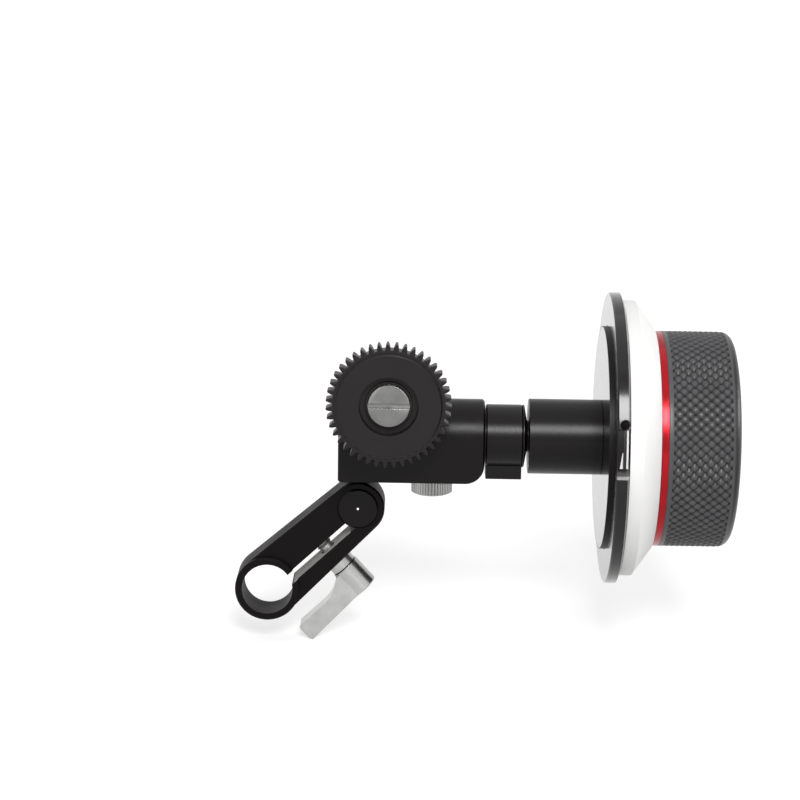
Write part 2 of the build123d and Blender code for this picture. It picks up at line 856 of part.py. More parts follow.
with BuildPart() as idler_bushes:
    ring(
        idler_profile, idler_axis, front_bush, -chamber_front, idler_bush_radius, idler_shaft_radius + running
    )
    ring(
        idler_profile,
        idler_axis,
        housing_rear,
        housing_rear + plate_bush_length - snug,
        idler_bush_radius,
        idler_shaft_radius + running,
    )
save(idler_bushes, "idler_bushes")

with BuildPart() as output_bushes:
    ring(
        gear_profile,
        gear_axis,
        -nose_front,
        -nose_front + output_bush_length - snug,
        output_bush_radius,
        output_shaft_radius + running,
    )
    ring(
        gear_profile,
        gear_axis,
        housing_rear,
        housing_rear + plate_bush_length - snug,
        idler_bush_radius,
        output_end_radius + running,
    )
save(output_bushes, "output_bushes")

idler_front = front_bush + swing_gap
idler_end = housing_rear + plate_bush_length - swing_gap
bevel_small = train_pitch_radius - bevel_face
with BuildPart() as idler_shaft:
    ring(idler_profile, idler_axis, idler_front, idler_end, idler_shaft_radius)
save(idler_shaft, "idler_shaft")

with BuildPart() as idler_bevel:
    # teeth on the front side of the crossing point; a gap meets the spindle gear's tooth
    bevel_teeth(facing_front(-train_pitch_radius), facing_front(-bevel_small), 180 / train_teeth)
    backing = train_pitch_radius + bevel_backing
    ring(idler_profile, idler_axis, -backing, -train_pitch_radius, bevel_hub_radius)
    ring(idler_profile, idler_axis, -backing, 0, idler_shaft_radius + snug, mode=Mode.SUBTRACT)
save(idler_bevel, "idler_bevel")

with BuildPart() as idler_spacer:
    ring(
        idler_profile, idler_axis, -bevel_small, spur_front, idler_spacer_radius, idler_shaft_radius + snug
    )
save(idler_spacer, "idler_spacer")

with BuildPart() as idler_spur:
    spur_teeth(
        facing_front(spur_front + spur_width),
        train_teeth,
        train_module,
        train_backlash,
        train_module,
        train_root,
        spur_width,
    )
    ring(
        idler_profile,
        idler_axis,
        spur_front,
        spur_front + spur_width,
        idler_shaft_radius + snug,
        mode=Mode.SUBTRACT,
    )
save(idler_spur, "idler_spur")

with BuildPart() as output_spur:
    spur_teeth(
        gear_plane(spur_front + spur_width),
        train_teeth,
        train_module,
        train_backlash,
        train_module,
        train_root,
        spur_width,
        180 / train_teeth,
    )
    ring(
        gear_profile,
        gear_axis,
        spur_front,
        spur_front + spur_width,
        output_end_radius + snug,
        mode=Mode.SUBTRACT,
    )
save(output_spur, "output_spur")

drive_back = -drive_face + drive_width
hub_front = -drive_face - hub_disc_proud
gear_seat = hub_front + counterbore_depth
gear_shaft_front = gear_seat + swing_gap
gear_screw_seat = gear_seat - seat_ring_height

with BuildPart() as output_shaft:
    turned(
        gear_profile,
        gear_axis,
        (gear_shaft_front, 0),
        (gear_shaft_front, output_end_radius),
        (drive_back, output_end_radius),
        (drive_back, output_shaft_radius),
        (spur_front, output_shaft_radius),
        (spur_front, output_end_radius),
        (idler_end, output_end_radius),
        (idler_end, 0),
    )
    # flat that drives the gear, and the gear screw's thread
    with BuildSketch(gear_plane(drive_back)):
        with Locations((0, drive_flat + output_end_radius)):
            Rectangle(3 * output_end_radius, 2 * output_end_radius)
    extrude(amount=drive_back - gear_shaft_front, mode=Mode.SUBTRACT)
    ring(
        gear_profile,
        gear_axis,
        gear_shaft_front,
        gear_screw_seat + gear_screw_length + snug,
        gear_screw_radius + snug,
        mode=Mode.SUBTRACT,
    )
save(output_shaft, "output_shaft")

# ================================================================ drive gear
with BuildPart() as drive_gear:
    spur_teeth(
        gear_plane(drive_back),
        drive_teeth,
        drive_module,
        drive_backlash,
        drive_tip - drive_pitch_radius,
        drive_root * drive_module,
        drive_width,
        drive_turn,
    )
    for face, inward in ((-drive_face, 1), (drive_back, -1)):
        turned(
            gear_profile,
            gear_axis,
            (face, drive_tip - drive_edge),
            (face + inward * drive_edge, drive_tip),
            (face + inward * drive_edge, drive_tip + drive_edge),
            (face, drive_tip + drive_edge),
            mode=Mode.SUBTRACT,
        )
    turned(
        gear_profile,
        gear_axis,
        (-drive_face, 0),
        (hub_front, 0),
        (hub_front, hub_disc_radius - hub_disc_edge),
        (hub_front + hub_disc_edge, hub_disc_radius),
        (-drive_face, hub_disc_radius),
    )
    ring(
        gear_profile,
        gear_axis,
        hub_front,
        gear_seat,
        counterbore_radius,
        seat_ring_radius,
        mode=Mode.SUBTRACT,
    )
    ring(gear_profile, gear_axis, hub_front, gear_screw_seat, seat_ring_radius, mode=Mode.SUBTRACT)
    with BuildSketch(gear_plane(drive_back)):
        Circle(output_end_radius + snug)
        with Locations((0, drive_flat + snug + output_end_radius)):
            Rectangle(3 * output_end_radius, 2 * output_end_radius, mode=Mode.SUBTRACT)
    extrude(amount=drive_back - gear_screw_seat, mode=Mode.SUBTRACT)
save(drive_gear, "drive_gear")

screw_face = gear_screw_seat - gear_screw_head
with BuildPart() as gear_screw:
    turned(
        gear_profile,
        gear_axis,
        (screw_face, 0),
        (screw_face, gear_screw_head_radius - gear_screw_edge),
        (screw_face + gear_screw_edge, gear_screw_head_radius),
        (gear_screw_seat, gear_screw_head_radius),
        (gear_screw_seat, gear_screw_radius),
        (gear_screw_seat + gear_screw_length, gear_screw_radius),
        (gear_screw_seat + gear_screw_length, 0),
    )
    with BuildSketch(gear_plane(screw_face)):
        Rectangle(2 * gear_screw_head_radius, gear_screw_slot)
    extrude(amount=-gear_screw_slot_depth, mode=Mode.SUBTRACT)
save(gear_screw, "gear_screw")

# ================================================================ clamp collar
collar_bore_radius = neck_radius + snug
with BuildPart() as clamp_collar:
    turned(
        wheel_profile,
        wheel_axis,
        (collar_left, 0),
        (collar_left, collar_radius - collar_edge),
        (collar_left + collar_edge, collar_radius),
        (collar_right - collar_edge, collar_radius),
        (collar_right, collar_radius - collar_edge),
        (collar_right, 0),
    )
    with BuildSketch(facing_right(collar_left)):
        with Locations((0, -lug_bottom / 2)):
            Rectangle(2 * lug_half_width, lug_bottom)
    extrude(amount=collar_length)
    chamfer(clamp_collar.faces().sort_by(Axis.Z)[0].edges(), collar_edge)
    ring(wheel_profile, wheel_axis, collar_left, neck_end + snug, collar_bore_radius, mode=Mode.SUBTRACT)
    ring(wheel_profile, wheel_axis, neck_end, collar_right, spigot_radius + slip_gap, mode=Mode.SUBTRACT)
    with BuildSketch(facing_up(0)):
        with Locations(((collar_left + collar_right) / 2, 0)):
            Rectangle(collar_right - collar_left, neck_slit)
    extrude(amount=-lug_bottom, mode=Mode.SUBTRACT)
    collar_screw_at = ((collar_left + collar_right) / 2, -collar_screw_drop)
    with BuildSketch(facing_back(lug_half_width)):
        with Locations(*from_behind([collar_screw_at])):
            Circle(collar_screw_radius + snug)
    extrude(amount=-collar_screw_length - snug, mode=Mode.SUBTRACT)
save(clamp_collar, "clamp_collar")

with BuildPart() as collar_screw:
    cap_screws(
        facing_back(lug_half_width),
        from_behind([collar_screw_at]),
        collar_screw_radius,
        collar_screw_head_radius,
        collar_screw_head,
        collar_screw_length,
    )
save(collar_screw, "collar_screw")

# ================================================================ spindle tube
clip_left = bearing_right + clip_gap
hollow_end = bearing_right - bearing_width - tube_wall
with BuildPart() as spindle_tube:
    turned(
        wheel_profile,
        wheel_axis,
        (spigot_start, 0),
        (spigot_start, spigot_radius),
        (rim_left, spigot_radius),
        (rim_left, collar_radius),
        (rim_right, collar_radius),
        (cone_end, tube_groove_radius),
        (tube_left, tube_groove_radius),
        (tube_left, tube_radius - tube_edge),
        (tube_left + tube_edge, tube_radius),
        (tube_right, tube_radius),
        (tube_right, 0),
    )
    ring(wheel_profile, wheel_axis, spigot_start, tube_right, tube_bore_radius, mode=Mode.SUBTRACT)
    ring(
        wheel_profile,
        wheel_axis,
        spigot_start,
        spigot_start + spindle_bush_length,
        spindle_bush_radius + snug,
        mode=Mode.SUBTRACT,
    )
    ring(wheel_profile, wheel_axis, tube_left + tube_wall, hollow_end, tube_hollow_radius, mode=Mode.SUBTRACT)
    ring(
        wheel_profile,
        wheel_axis,
        bearing_right - bearing_width,
        tube_right,
        bearing_radius + snug,
        mode=Mode.SUBTRACT,
    )
    ring(
        wheel_profile,
        wheel_axis,
        clip_left,
        clip_left + clip_thickness + clip_gap,
        bearing_radius + clip_groove + snug,
        mode=Mode.SUBTRACT,
    )
    round_hole(
        facing_right(tube_right),
        spots_on_circle(3, flange_screw_circle),
        flange_screw_radius + snug,
        flange_screw_length - (flange_right - flange_recess_depth - tube_right) + snug,
    )
save(spindle_tube, "spindle_tube")

with BuildPart() as spindle_bush:
    ring(
        wheel_profile,
        wheel_axis,
        spigot_start + snug,
        spigot_start + spindle_bush_length - snug,
        spindle_bush_radius,
        spindle_radius + running,
    )
save(spindle_bush, "spindle_bush")

bearing_left = bearing_right - bearing_width
ball_circle = (bearing_radius + spindle_radius) / 2
with BuildPart() as spindle_bearing:
    ring(
        wheel_profile,
        wheel_axis,
        bearing_left + snug,
        bearing_right,
        bearing_radius,
        bearing_radius - race_thickness,
    )
    ring(
        wheel_profile,
        wheel_axis,
        bearing_left + snug,
        bearing_right,
        spindle_radius + race_thickness,
        spindle_radius + running,
    )
    race_middle = facing_right(bearing_right - bearing_width / 2)
    for spot in spots_on_circle(bearing_ball_count, ball_circle):
        with Locations(race_middle):
            with Locations(spot):
                Sphere((bearing_radius - spindle_radius) / 2 - race_thickness - snug)
save(spindle_bearing, "spindle_bearing")

with BuildPart() as bearing_clip:
    ring(
        wheel_profile,
        wheel_axis,
        clip_left,
        clip_left + clip_thickness,
        bearing_radius + clip_groove,
        clip_inner_radius,
    )
    with BuildSketch(facing_right(clip_left)):
        with Locations((0, -bearing_radius)):
            Rectangle(clip_opening, bearing_radius)
    extrude(amount=clip_thickness, mode=Mode.SUBTRACT)
save(bearing_clip, "bearing_clip")

# ================================================================ friction screw
friction_head_top = -housing_bottom - swing_gap
pad_top = -spindle_radius - friction_pad_gap
with BuildPart() as friction_screw:
    with BuildSketch(facing_up(friction_head_top)):
        with Locations((friction_at, 0)):
            Circle(friction_head_radius)
            with PolarLocations(friction_head_radius, friction_grooves):
                RegularPolygon(friction_groove_depth, 4, mode=Mode.SUBTRACT)
    extrude(amount=-friction_head_length)
    rim = Axis((gear_axis_x + friction_at, wheel_axis_y, wheel_axis_z), (0, 0, 1))
    rim_profile = Plane(origin=rim.position, x_dir=(0, 0, 1), z_dir=(0, 1, 0))
    for face, inward in ((friction_head_top, -1), (friction_head_top - friction_head_length, 1)):
        turned(
            rim_profile,
            rim,
            (face, friction_head_radius - 2 * friction_head_edge),
            (face + inward * friction_head_edge, friction_head_radius),
            (face + inward * friction_head_edge, friction_head_radius + friction_head_edge),
            (face, friction_head_radius + friction_head_edge),
            mode=Mode.SUBTRACT,
        )
    ring(rim_profile, rim, friction_head_top, pad_top - friction_pad_length, friction_shank_radius)
save(friction_screw, "friction_screw")

with BuildPart() as friction_pad:
    ring(rim_profile, rim, pad_top - friction_pad_length, pad_top, friction_pad_radius)
save(friction_pad, "friction_pad")

# ================================================================ index flange
window_floor = sqrt((flange_radius - window_depth) ** 2 - window_high**2)
marker_radius = flange_radius - index_inset
marker_left = flange_step + window_lip + snug
strip_middle = flange_right - strip_from_right
strip_bottom = window_low + window_ramp
index_screw_z = window_high + index_screw_rise
index_lean = asin(index_screw_z / flange_radius)
index_plane = Plane(
    origin=(
        gear_axis_x + strip_middle,
        wheel_axis_y - flange_radius * cos(index_lean),
        wheel_axis_z + index_screw_z,
    ),
    x_dir=(1, 0, 0),
    z_dir=(0, -cos(index_lean), sin(index_lean)),
)

with BuildPart() as index_flange:
    turned(
        wheel_profile,
        wheel_axis,
        (tube_right, flange_bore_radius),
        (tube_right, flange_boss_radius),
        (flange_step, flange_boss_radius),
        (flange_step, flange_radius - flange_edge),
        (flange_step + flange_edge, flange_radius),
        (flange_right - flange_bevel, flange_radius),
        (flange_right, flange_radius - flange_bevel_drop),
        (flange_right, flange_recess_radius),
        (flange_right - flange_recess_depth, flange_recess_radius),
        (flange_right - flange_recess_depth, flange_bore_radius),
    )
    # the window for the index marker, in the rim on the front side
    with BuildSketch(facing_right(flange_step + window_lip)):
        with BuildLine():
            Polyline(
                (-window_floor, window_high),
                (-window_floor, window_low + window_ramp),
                (-flange_radius, window_low),
                (-flange_radius - window_depth, window_low),
                (-flange_radius - window_depth, window_high),
                close=True,
            )
        make_face()
    extrude(amount=flange_right - flange_step, mode=Mode.SUBTRACT)
    recess_face = facing_right(flange_right - flange_recess_depth)
    screw_seat(
        recess_face,
        spots_on_circle(3, flange_screw_circle),
        flange_screw_radius,
        flange_screw_head_radius,
        flange_screw_length,
    )
    round_hole(index_plane, [(0, 0)], index_screw_radius + snug, index_screw_length + snug)
save(index_flange, "index_flange")

with BuildPart() as flange_screws:
    countersunk_screws(
        recess_face,
        spots_on_circle(3, flange_screw_circle),
        flange_screw_radius,
        flange_screw_head_radius,
        flange_screw_length,
    )
save(flange_screws, "flange_screws")

with BuildPart() as index_marker:
    with BuildSketch(facing_right(marker_left)):
        Circle(marker_radius)
        with Locations((-(window_floor + snug + flange_radius) / 2, (strip_bottom + window_high) / 2)):
            Rectangle(
                flange_radius - window_floor - snug,
                window_high - strip_bottom - 2 * snug,
                mode=Mode.INTERSECT,
            )
    extrude(amount=flange_right - flange_bevel - marker_left)
save(index_marker, "index_marker")

strip_top = window_high - snug
with BuildPart() as index_strip:
    with BuildSketch(facing_right(strip_middle - strip_width / 2)):
        Circle(marker_radius + strip_height)
        with Locations((-flange_radius, (strip_bottom + snug + strip_top) / 2)):
            Rectangle(flange_radius, strip_top - strip_bottom - snug, mode=Mode.INTERSECT)
        Circle(marker_radius, mode=Mode.SUBTRACT)
    extrude(amount=strip_width)
save(index_strip, "index_strip")

with BuildPart() as index_screw:
    with BuildSketch(index_plane) as shank:
        Circle(index_screw_radius)
    extrude(shank.sketch, amount=-index_screw_length)
    with Locations(index_plane.offset(index_screw_proud)):
        Sphere(index_screw_head_radius)
    split(bisect_by=index_plane, keep=Keep.TOP)
    extrude(shank.sketch, amount=-index_screw_length)
save(index_screw, "index_screw")

# ================================================================ spindle
pin_at = (train_pitch_radius + bevel_backing + bevel_hub_end) / 2
washer_left = spindle_end + swing_gap

with BuildPart() as spindle:
    turned(
        wheel_profile,
        wheel_axis,
        (bevel_small, 0),
        (bevel_small, spindle_radius),
        (clip_left, spindle_radius),
        (clip_left, spindle_shoulder_radius),
        (hub_left, spindle_shoulder_radius),
        (hub_left, spindle_radius),
        (spindle_end, spindle_radius),
        (spindle_end, 0),
    )
    round_hole(facing_up(bevel_hub_radius), [(pin_at, 0)], bevel_pin_radius + snug, 2 * bevel_hub_radius)
    round_hole(
        facing_right(spindle_end),
        [(0, 0)],
        spindle_screw_radius + snug,
        spindle_screw_length + spindle_end - washer_left - spindle_washer_thickness + 2 * snug,
    )
save(spindle, "spindle")

with BuildPart() as input_bevel:
    bevel_teeth(facing_right(train_pitch_radius), facing_right(bevel_small))
    ring(wheel_profile, wheel_axis, train_pitch_radius, bevel_hub_end, bevel_hub_radius)
    ring(wheel_profile, wheel_axis, bevel_small, bevel_hub_end, spindle_radius + snug, mode=Mode.SUBTRACT)
    round_hole(facing_up(bevel_hub_radius), [(pin_at, 0)], bevel_pin_radius + snug, 2 * bevel_hub_radius)
save(input_bevel, "input_bevel")

with BuildPart() as bevel_pin:
    with BuildSketch(facing_up(bevel_hub_radius - snug)):
        with Locations((pin_at, 0)):
            Circle(bevel_pin_radius)
    extrude(amount=-2 * (bevel_hub_radius - snug))
save(bevel_pin, "bevel_pin")

with BuildPart() as spindle_washer:
    ring(
        wheel_profile,
        wheel_axis,
        washer_left,
        washer_left + spindle_washer_thickness,
        spindle_washer_radius,
        spindle_screw_radius + snug,
    )
save(spindle_washer, "spindle_washer")

with BuildPart() as spindle_screw:
    cap_screws(
        facing_right(washer_left + spindle_washer_thickness),
        [(0, 0)],
        spindle_screw_radius,
        spindle_screw_head_radius,
        spindle_screw_head,
        spindle_screw_length,
    )
save(spindle_screw, "spindle_screw")

# ================================================================ wheel hub and its magnets
spigot_end = wheel_left + wheel_spigot_length
hub_web_left = spigot_end - hub_web
magnet_spots = spots_on_circle(magnet_count, magnet_circle)
wheel_screw_spots = spots_on_circle(3, wheel_screw_circle)

with BuildPart() as wheel_hub:
    turned(
        wheel_profile,
        wheel_axis,
        (hub_left, spindle_radius + snug),
        (hub_left, hub_boss_radius),
        (hub_web_left, hub_boss_radius),
        (hub_web_left, hub_hollow_radius),
        (hub_left, hub_hollow_radius),
        (hub_left, hub_flange_radius),
        (hub_flange_right, hub_flange_radius),
        (hub_flange_right, wheel_radius),
        (red_ring_left, wheel_radius),
        (red_ring_left, wheel_spigot_radius),
        (spigot_end, wheel_spigot_radius),
        (spigot_end, spindle_washer_radius + slip_gap),
        (washer_left, spindle_washer_radius + slip_gap),
        (washer_left, spindle_radius + snug),
    )
    round_hole(facing_right(hub_flange_right), magnet_spots, magnet_radius + snug, magnet_length + snug)
    round_hole(
        facing_right(spigot_end),
        wheel_screw_spots,
        wheel_screw_radius + snug,
        wheel_screw_length - wheel_web + snug,
    )
save(wheel_hub, "wheel_hub")

with BuildPart() as disc_magnets:
    with BuildSketch(facing_right(hub_flange_right)):
        with Locations(*magnet_spots):
            Circle(magnet_radius)
    extrude(amount=-magnet_length)
save(disc_magnets, "disc_magnets")

with BuildPart() as red_ring:
    ring(wheel_profile, wheel_axis, red_ring_left, wheel_left, wheel_radius, wheel_spigot_radius + snug)
save(red_ring, "red_ring")

# ================================================================ handwheel
pillar_spots = spots_on_circle(3, pillar_circle, 270)

def diamonds(start, end, rows, count, peak, valley):
    """A knurled disc about the wheel axis: stars whose points change places from each row to the next."""
    stars = []
    for row in range(rows + 1):
        last = row in (0, rows)
        radii = [valley if last or (row + i) % 2 else peak for i in range(2 * count)]
        points = [(r * cos(pi * i / count), r * sin(pi * i / count)) for i, r in enumerate(radii)]
        with BuildSketch(facing_right(start + (end - start) * row / rows)) as star:
            with BuildLine():
                Polyline(*points, close=True)
            make_face()
        stars.append(star.sketch)
    loft(stars, ruled=True)


with BuildPart() as handwheel:
    ring(wheel_profile, wheel_axis, wheel_left, wheel_right, wheel_radius)
    outer_rim = handwheel.faces().sort_by(Axis.X)[-1].outer_wire()
    fillet(outer_rim.edges(), wheel_round)
    knurl_floor = wheel_radius - knurl_core
    ring(
        wheel_profile,
        wheel_axis,
        knurl_left,
        knurl_right,
        wheel_radius + knurl_core,
        knurl_floor,
        mode=Mode.SUBTRACT,
    )
    diamonds(knurl_left, knurl_right, knurl_rows, knurl_count, wheel_radius, wheel_radius - knurl_depth)
    turned(
        wheel_profile,
        wheel_axis,
        (wheel_left, 0),
        (wheel_left, wheel_spigot_radius + snug),
        (spigot_end, wheel_spigot_radius + snug),
        (spigot_end, wheel_web_bore_radius),
        (wheel_web_right, wheel_web_bore_radius),
        (wheel_web_right, wheel_cavity_radius),
        (wheel_right, wheel_cavity_radius),
        (wheel_right, 0),
        mode=Mode.SUBTRACT,
    )
    with BuildSketch(facing_right(wheel_web_right)):
        with Locations(*pillar_spots):
            Circle(pillar_radius)
    extrude(amount=cap_left - wheel_web_right)
    round_hole(
        facing_right(cap_left),
        pillar_spots,
        cap_screw_radius + snug,
        cap_screw_length - cap_thickness + snug,
    )
    round_hole(facing_right(wheel_web_right), wheel_screw_spots, wheel_screw_radius + snug, wheel_web)
save(handwheel, "handwheel")

with BuildPart() as wheel_screws:
    cap_screws(
        facing_right(wheel_web_right),
        wheel_screw_spots,
        wheel_screw_radius,
        wheel_screw_head_radius,
        wheel_screw_head,
        wheel_screw_length,
    )
save(wheel_screws, "wheel_screws")

cap_radius = wheel_cavity_radius - snug
with BuildPart() as wheel_cap:
    turned(
        wheel_profile,
        wheel_axis,
        (cap_right - socket_depth - socket_floor, 0),
        (cap_right - socket_depth - socket_floor, cap_boss_radius),
        (cap_left, cap_boss_radius),
        (cap_left, cap_radius),
        (cap_right - cap_edge, cap_radius),
        (cap_right, cap_radius - cap_edge),
        (cap_right, 0),
    )
    with BuildSketch(facing_right(cap_right)):
        Rectangle(socket_width, socket_width)
    extrude(amount=-socket_depth, mode=Mode.SUBTRACT)
    screw_seat(
        facing_right(cap_right), pillar_spots, cap_screw_radius, cap_screw_head_radius, cap_screw_length
    )
save(wheel_cap, "wheel_cap")

with BuildPart() as cap_screws_set:
    countersunk_screws(
        facing_right(cap_right), pillar_spots, cap_screw_radius, cap_screw_head_radius, cap_screw_length
    )
save(cap_screws_set, "cap_screws")

# ================================================================ marking disc
keeper_left = hub_flange_right + keeper_gap
keeper_right = keeper_left + keeper_thickness

with BuildPart() as marking_disc:
    turned(
        wheel_profile,
        wheel_axis,
        (disc_left, disc_seat_radius),
        (disc_left, disc_radius),
        (disc_left + disc_band, disc_radius),
        (disc_cone_end, disc_cone_radius),
        (disc_cone_end, disc_bore_radius),
        (keeper_right, disc_bore_radius),
        (keeper_right, disc_seat_radius),
    )
save(marking_disc, "marking_disc")

with BuildPart() as keeper_ring:
    ring(
        wheel_profile,
        wheel_axis,
        keeper_left,
        keeper_right,
        disc_seat_radius - snug,
        disc_bore_radius + snug,
    )
save(keeper_ring, "keeper_ring")
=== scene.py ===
"""Looks for a follow focus unit: a knurled handwheel drives a toothed gear through a gearbox on a rod link.

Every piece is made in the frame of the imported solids, in metres. +X runs along the handwheel's axis, +Y back
along the rod, +Z up. Round pieces are turned about their own local Z, so the lathe marks follow that axis.
"""

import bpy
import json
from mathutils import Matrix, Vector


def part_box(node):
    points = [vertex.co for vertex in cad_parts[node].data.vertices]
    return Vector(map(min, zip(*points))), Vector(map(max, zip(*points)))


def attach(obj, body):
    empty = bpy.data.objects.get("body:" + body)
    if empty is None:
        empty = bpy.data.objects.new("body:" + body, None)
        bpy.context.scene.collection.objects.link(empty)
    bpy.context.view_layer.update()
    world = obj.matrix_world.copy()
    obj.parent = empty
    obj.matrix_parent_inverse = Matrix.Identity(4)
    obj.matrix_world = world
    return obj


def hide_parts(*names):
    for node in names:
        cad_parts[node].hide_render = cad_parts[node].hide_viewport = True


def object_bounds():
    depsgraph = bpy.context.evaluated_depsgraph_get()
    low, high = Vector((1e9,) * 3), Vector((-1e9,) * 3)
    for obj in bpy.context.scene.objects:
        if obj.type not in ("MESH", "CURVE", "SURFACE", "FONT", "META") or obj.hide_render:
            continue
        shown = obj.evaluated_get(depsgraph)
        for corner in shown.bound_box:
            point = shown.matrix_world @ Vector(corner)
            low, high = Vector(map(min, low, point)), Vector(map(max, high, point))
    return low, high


bl_info = {
    "name": "Follow focus unit",
    "version": (1, 0, 0),
    "blender": (4, 5, 0),
    "location": "3D View > Sidebar > Follow focus",
    "description": "Builds the pieces, finishes and stage of a single-sided follow focus unit",
    "category": "Add Mesh",
}

import json
from math import acos, asin, cos, degrees, pi, radians, sin, sqrt, tan

import bmesh
import bpy
from bpy.props import FloatProperty, FloatVectorProperty, IntProperty, PointerProperty
from bpy.types import Operator, Panel, PropertyGroup
from mathutils import Matrix, Vector

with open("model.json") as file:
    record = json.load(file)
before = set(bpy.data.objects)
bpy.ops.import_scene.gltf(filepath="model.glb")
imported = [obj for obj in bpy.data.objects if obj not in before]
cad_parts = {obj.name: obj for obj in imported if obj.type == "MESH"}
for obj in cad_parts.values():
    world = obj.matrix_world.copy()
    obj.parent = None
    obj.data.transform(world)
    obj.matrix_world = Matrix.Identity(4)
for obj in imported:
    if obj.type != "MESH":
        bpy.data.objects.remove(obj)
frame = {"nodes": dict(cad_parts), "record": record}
SOLIDS_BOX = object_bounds()
MM = 0.001
NOISE_RANGE = (0.3, 0.7)  # the middle range of a noise, which the finishes use


# ---------------------------------------------------------------- places taken from the solids
def low(node):
    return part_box(node)[0]


def high(node):
    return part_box(node)[1]


def middle(node):
    return (low(node) + high(node)) / 2


def half_height(node):
    return (high(node).z - low(node).z) / 2


def place(origin, x_dir, z_dir):
    """Matrix of a workplace with its own x and z directions."""
    x, z = Vector(x_dir).normalized(), Vector(z_dir).normalized()
    y = z.cross(x)
    return Matrix(
        ((x.x, y.x, z.x, origin[0]), (x.y, y.y, z.y, origin[1]), (x.z, y.z, z.z, origin[2]), (0, 0, 0, 1))
    )


LINK_ANGLE = radians(42.9)
ALONG_LINK = Vector((cos(LINK_ANGLE), 0, sin(LINK_ANGLE)))
OUT_OF_CLAMP = Vector((sin(LINK_ANGLE), 0, -cos(LINK_ANGLE)))
RING = middle("red_ring")
GEAR = middle("gear_screw")
POST = middle("swing_post")
WHEEL_PLACE = place((GEAR.x, RING.y, RING.z), (0, 1, 0), (1, 0, 0))
GEAR_PLACE = place((GEAR.x, RING.y, GEAR.z), (1, 0, 0), (0, -1, 0))
POST_PLACE = place((POST.x, 0, POST.z), (1, 0, 0), (0, -1, 0))
CLAMP_ALONG = 20.6 * MM  # from the rod's centre to the clamp screw
CLAMP_PLACE = place(CLAMP_ALONG * ALONG_LINK, ALONG_LINK, OUT_OF_CLAMP)
WHEEL_SEAT = 27.1 * MM  # radius at which the wheel and the red ring sit on the hub


def across(node, side):
    """Distance of a node's left (0) or right (1) end from the drive gear's axis, along the wheel axis."""
    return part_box(node)[side].x - GEAR.x


# ---------------------------------------------------------------- finishes
LOCAL_AXIS = ("Z", (0, 0, 0))
WHEEL_AXIS = ("X", (0, RING.y, RING.z))


def node_at(tree, kind, x, y, **settings):
    node = tree.nodes.new(kind)
    node.location = (x, y)
    for key, value in settings.items():
        setattr(node, key, value)
    return node


def object_place(tree, x, y):
    """The place on a piece in its own coordinates."""
    return node_at(tree, "ShaderNodeTexCoord", x, y).outputs["Object"]


def blank_finish(name):
    """A new material with an empty principled shader; returns the material, its tree and the shader."""
    finish = bpy.data.materials.new(name)
    finish.use_nodes = True
    tree = finish.node_tree
    return finish, tree, tree.nodes["Principled BSDF"]


def grain(tree, vector, scale, detail, x, y):
    """A fine noise, read at the given place."""
    noise = node_at(tree, "ShaderNodeTexNoise", x, y)
    noise.inputs["Scale"].default_value = scale
    noise.inputs["Detail"].default_value = detail
    tree.links.new(vector, noise.inputs["Vector"])
    return noise.outputs["Fac"]


def mapped(tree, value, source, target, x, y, **settings):
    """Maps one range of a value onto another; each range is a pair."""
    changed = node_at(tree, "ShaderNodeMapRange", x, y, **settings)
    for side, (start, end) in (("From", source), ("To", target)):
        changed.inputs[side + " Min"].default_value = start
        changed.inputs[side + " Max"].default_value = end
    tree.links.new(value, changed.inputs["Value"])
    return changed.outputs["Result"]


def shades(tree, value, dark, light, x, y):
    """Colour that wanders between two shades, over the noise's middle range."""
    ramp = node_at(tree, "ShaderNodeValToRGB", x, y)
    for element, position, shade in zip(ramp.color_ramp.elements, NOISE_RANGE, (dark, light)):
        element.position = position
        element.color = (*shade, 1)
    tree.links.new(value, ramp.inputs["Fac"])
    return ramp.outputs["Color"]


def bump(tree, height, strength, distance, x, y, below=None):
    node = node_at(tree, "ShaderNodeBump", x, y)
    node.inputs["Strength"].default_value = strength
    node.inputs["Distance"].default_value = distance
    tree.links.new(height, node.inputs["Height"])
    if below is not None:
        tree.links.new(below, node.inputs["Normal"])
    return node.outputs["Normal"]


def turned_lines(tree, place_on, x, y, axis, centre):
    """Place on a turned piece as (radius, length), so that a fine noise becomes rings round its axis."""
    shift = node_at(tree, "ShaderNodeVectorMath", x, y, operation="SUBTRACT")
    shift.inputs[1].default_value = centre
    tree.links.new(place_on, shift.inputs[0])
    parts = node_at(tree, "ShaderNodeSeparateXYZ", x + 160, y)
    tree.links.new(shift.outputs["Vector"], parts.inputs["Vector"])
    flat = node_at(tree, "ShaderNodeCombineXYZ", x + 320, y)
    for side in "XYZ".replace(axis, ""):
        tree.links.new(parts.outputs[side], flat.inputs[side])
    radius = node_at(tree, "ShaderNodeVectorMath", x + 480, y, operation="LENGTH")
    tree.links.new(flat.outputs["Vector"], radius.inputs[0])
    ruled = node_at(tree, "ShaderNodeCombineXYZ", x + 640, y)
    tree.links.new(radius.outputs["Value"], ruled.inputs["X"])
    tree.links.new(parts.outputs[axis], ruled.inputs["Y"])
    return ruled.outputs["Vector"]


def turned_radius(tree, x, y, about):
    """Distance from the axis of a turned piece."""
    parts = node_at(tree, "ShaderNodeSeparateXYZ", x + 1000, y)
    tree.links.new(turned_lines(tree, object_place(tree, x, y), x + 200, y, *about), parts.inputs["Vector"])
    return parts.outputs["X"]


def eased_edges(tree, radius, x, y):
    """Normal that rounds the sharp edges by a small radius."""
    edge = node_at(tree, "ShaderNodeBevel", x, y, samples=4)
    edge.inputs["Radius"].default_value = radius
    return edge.outputs["Normal"]


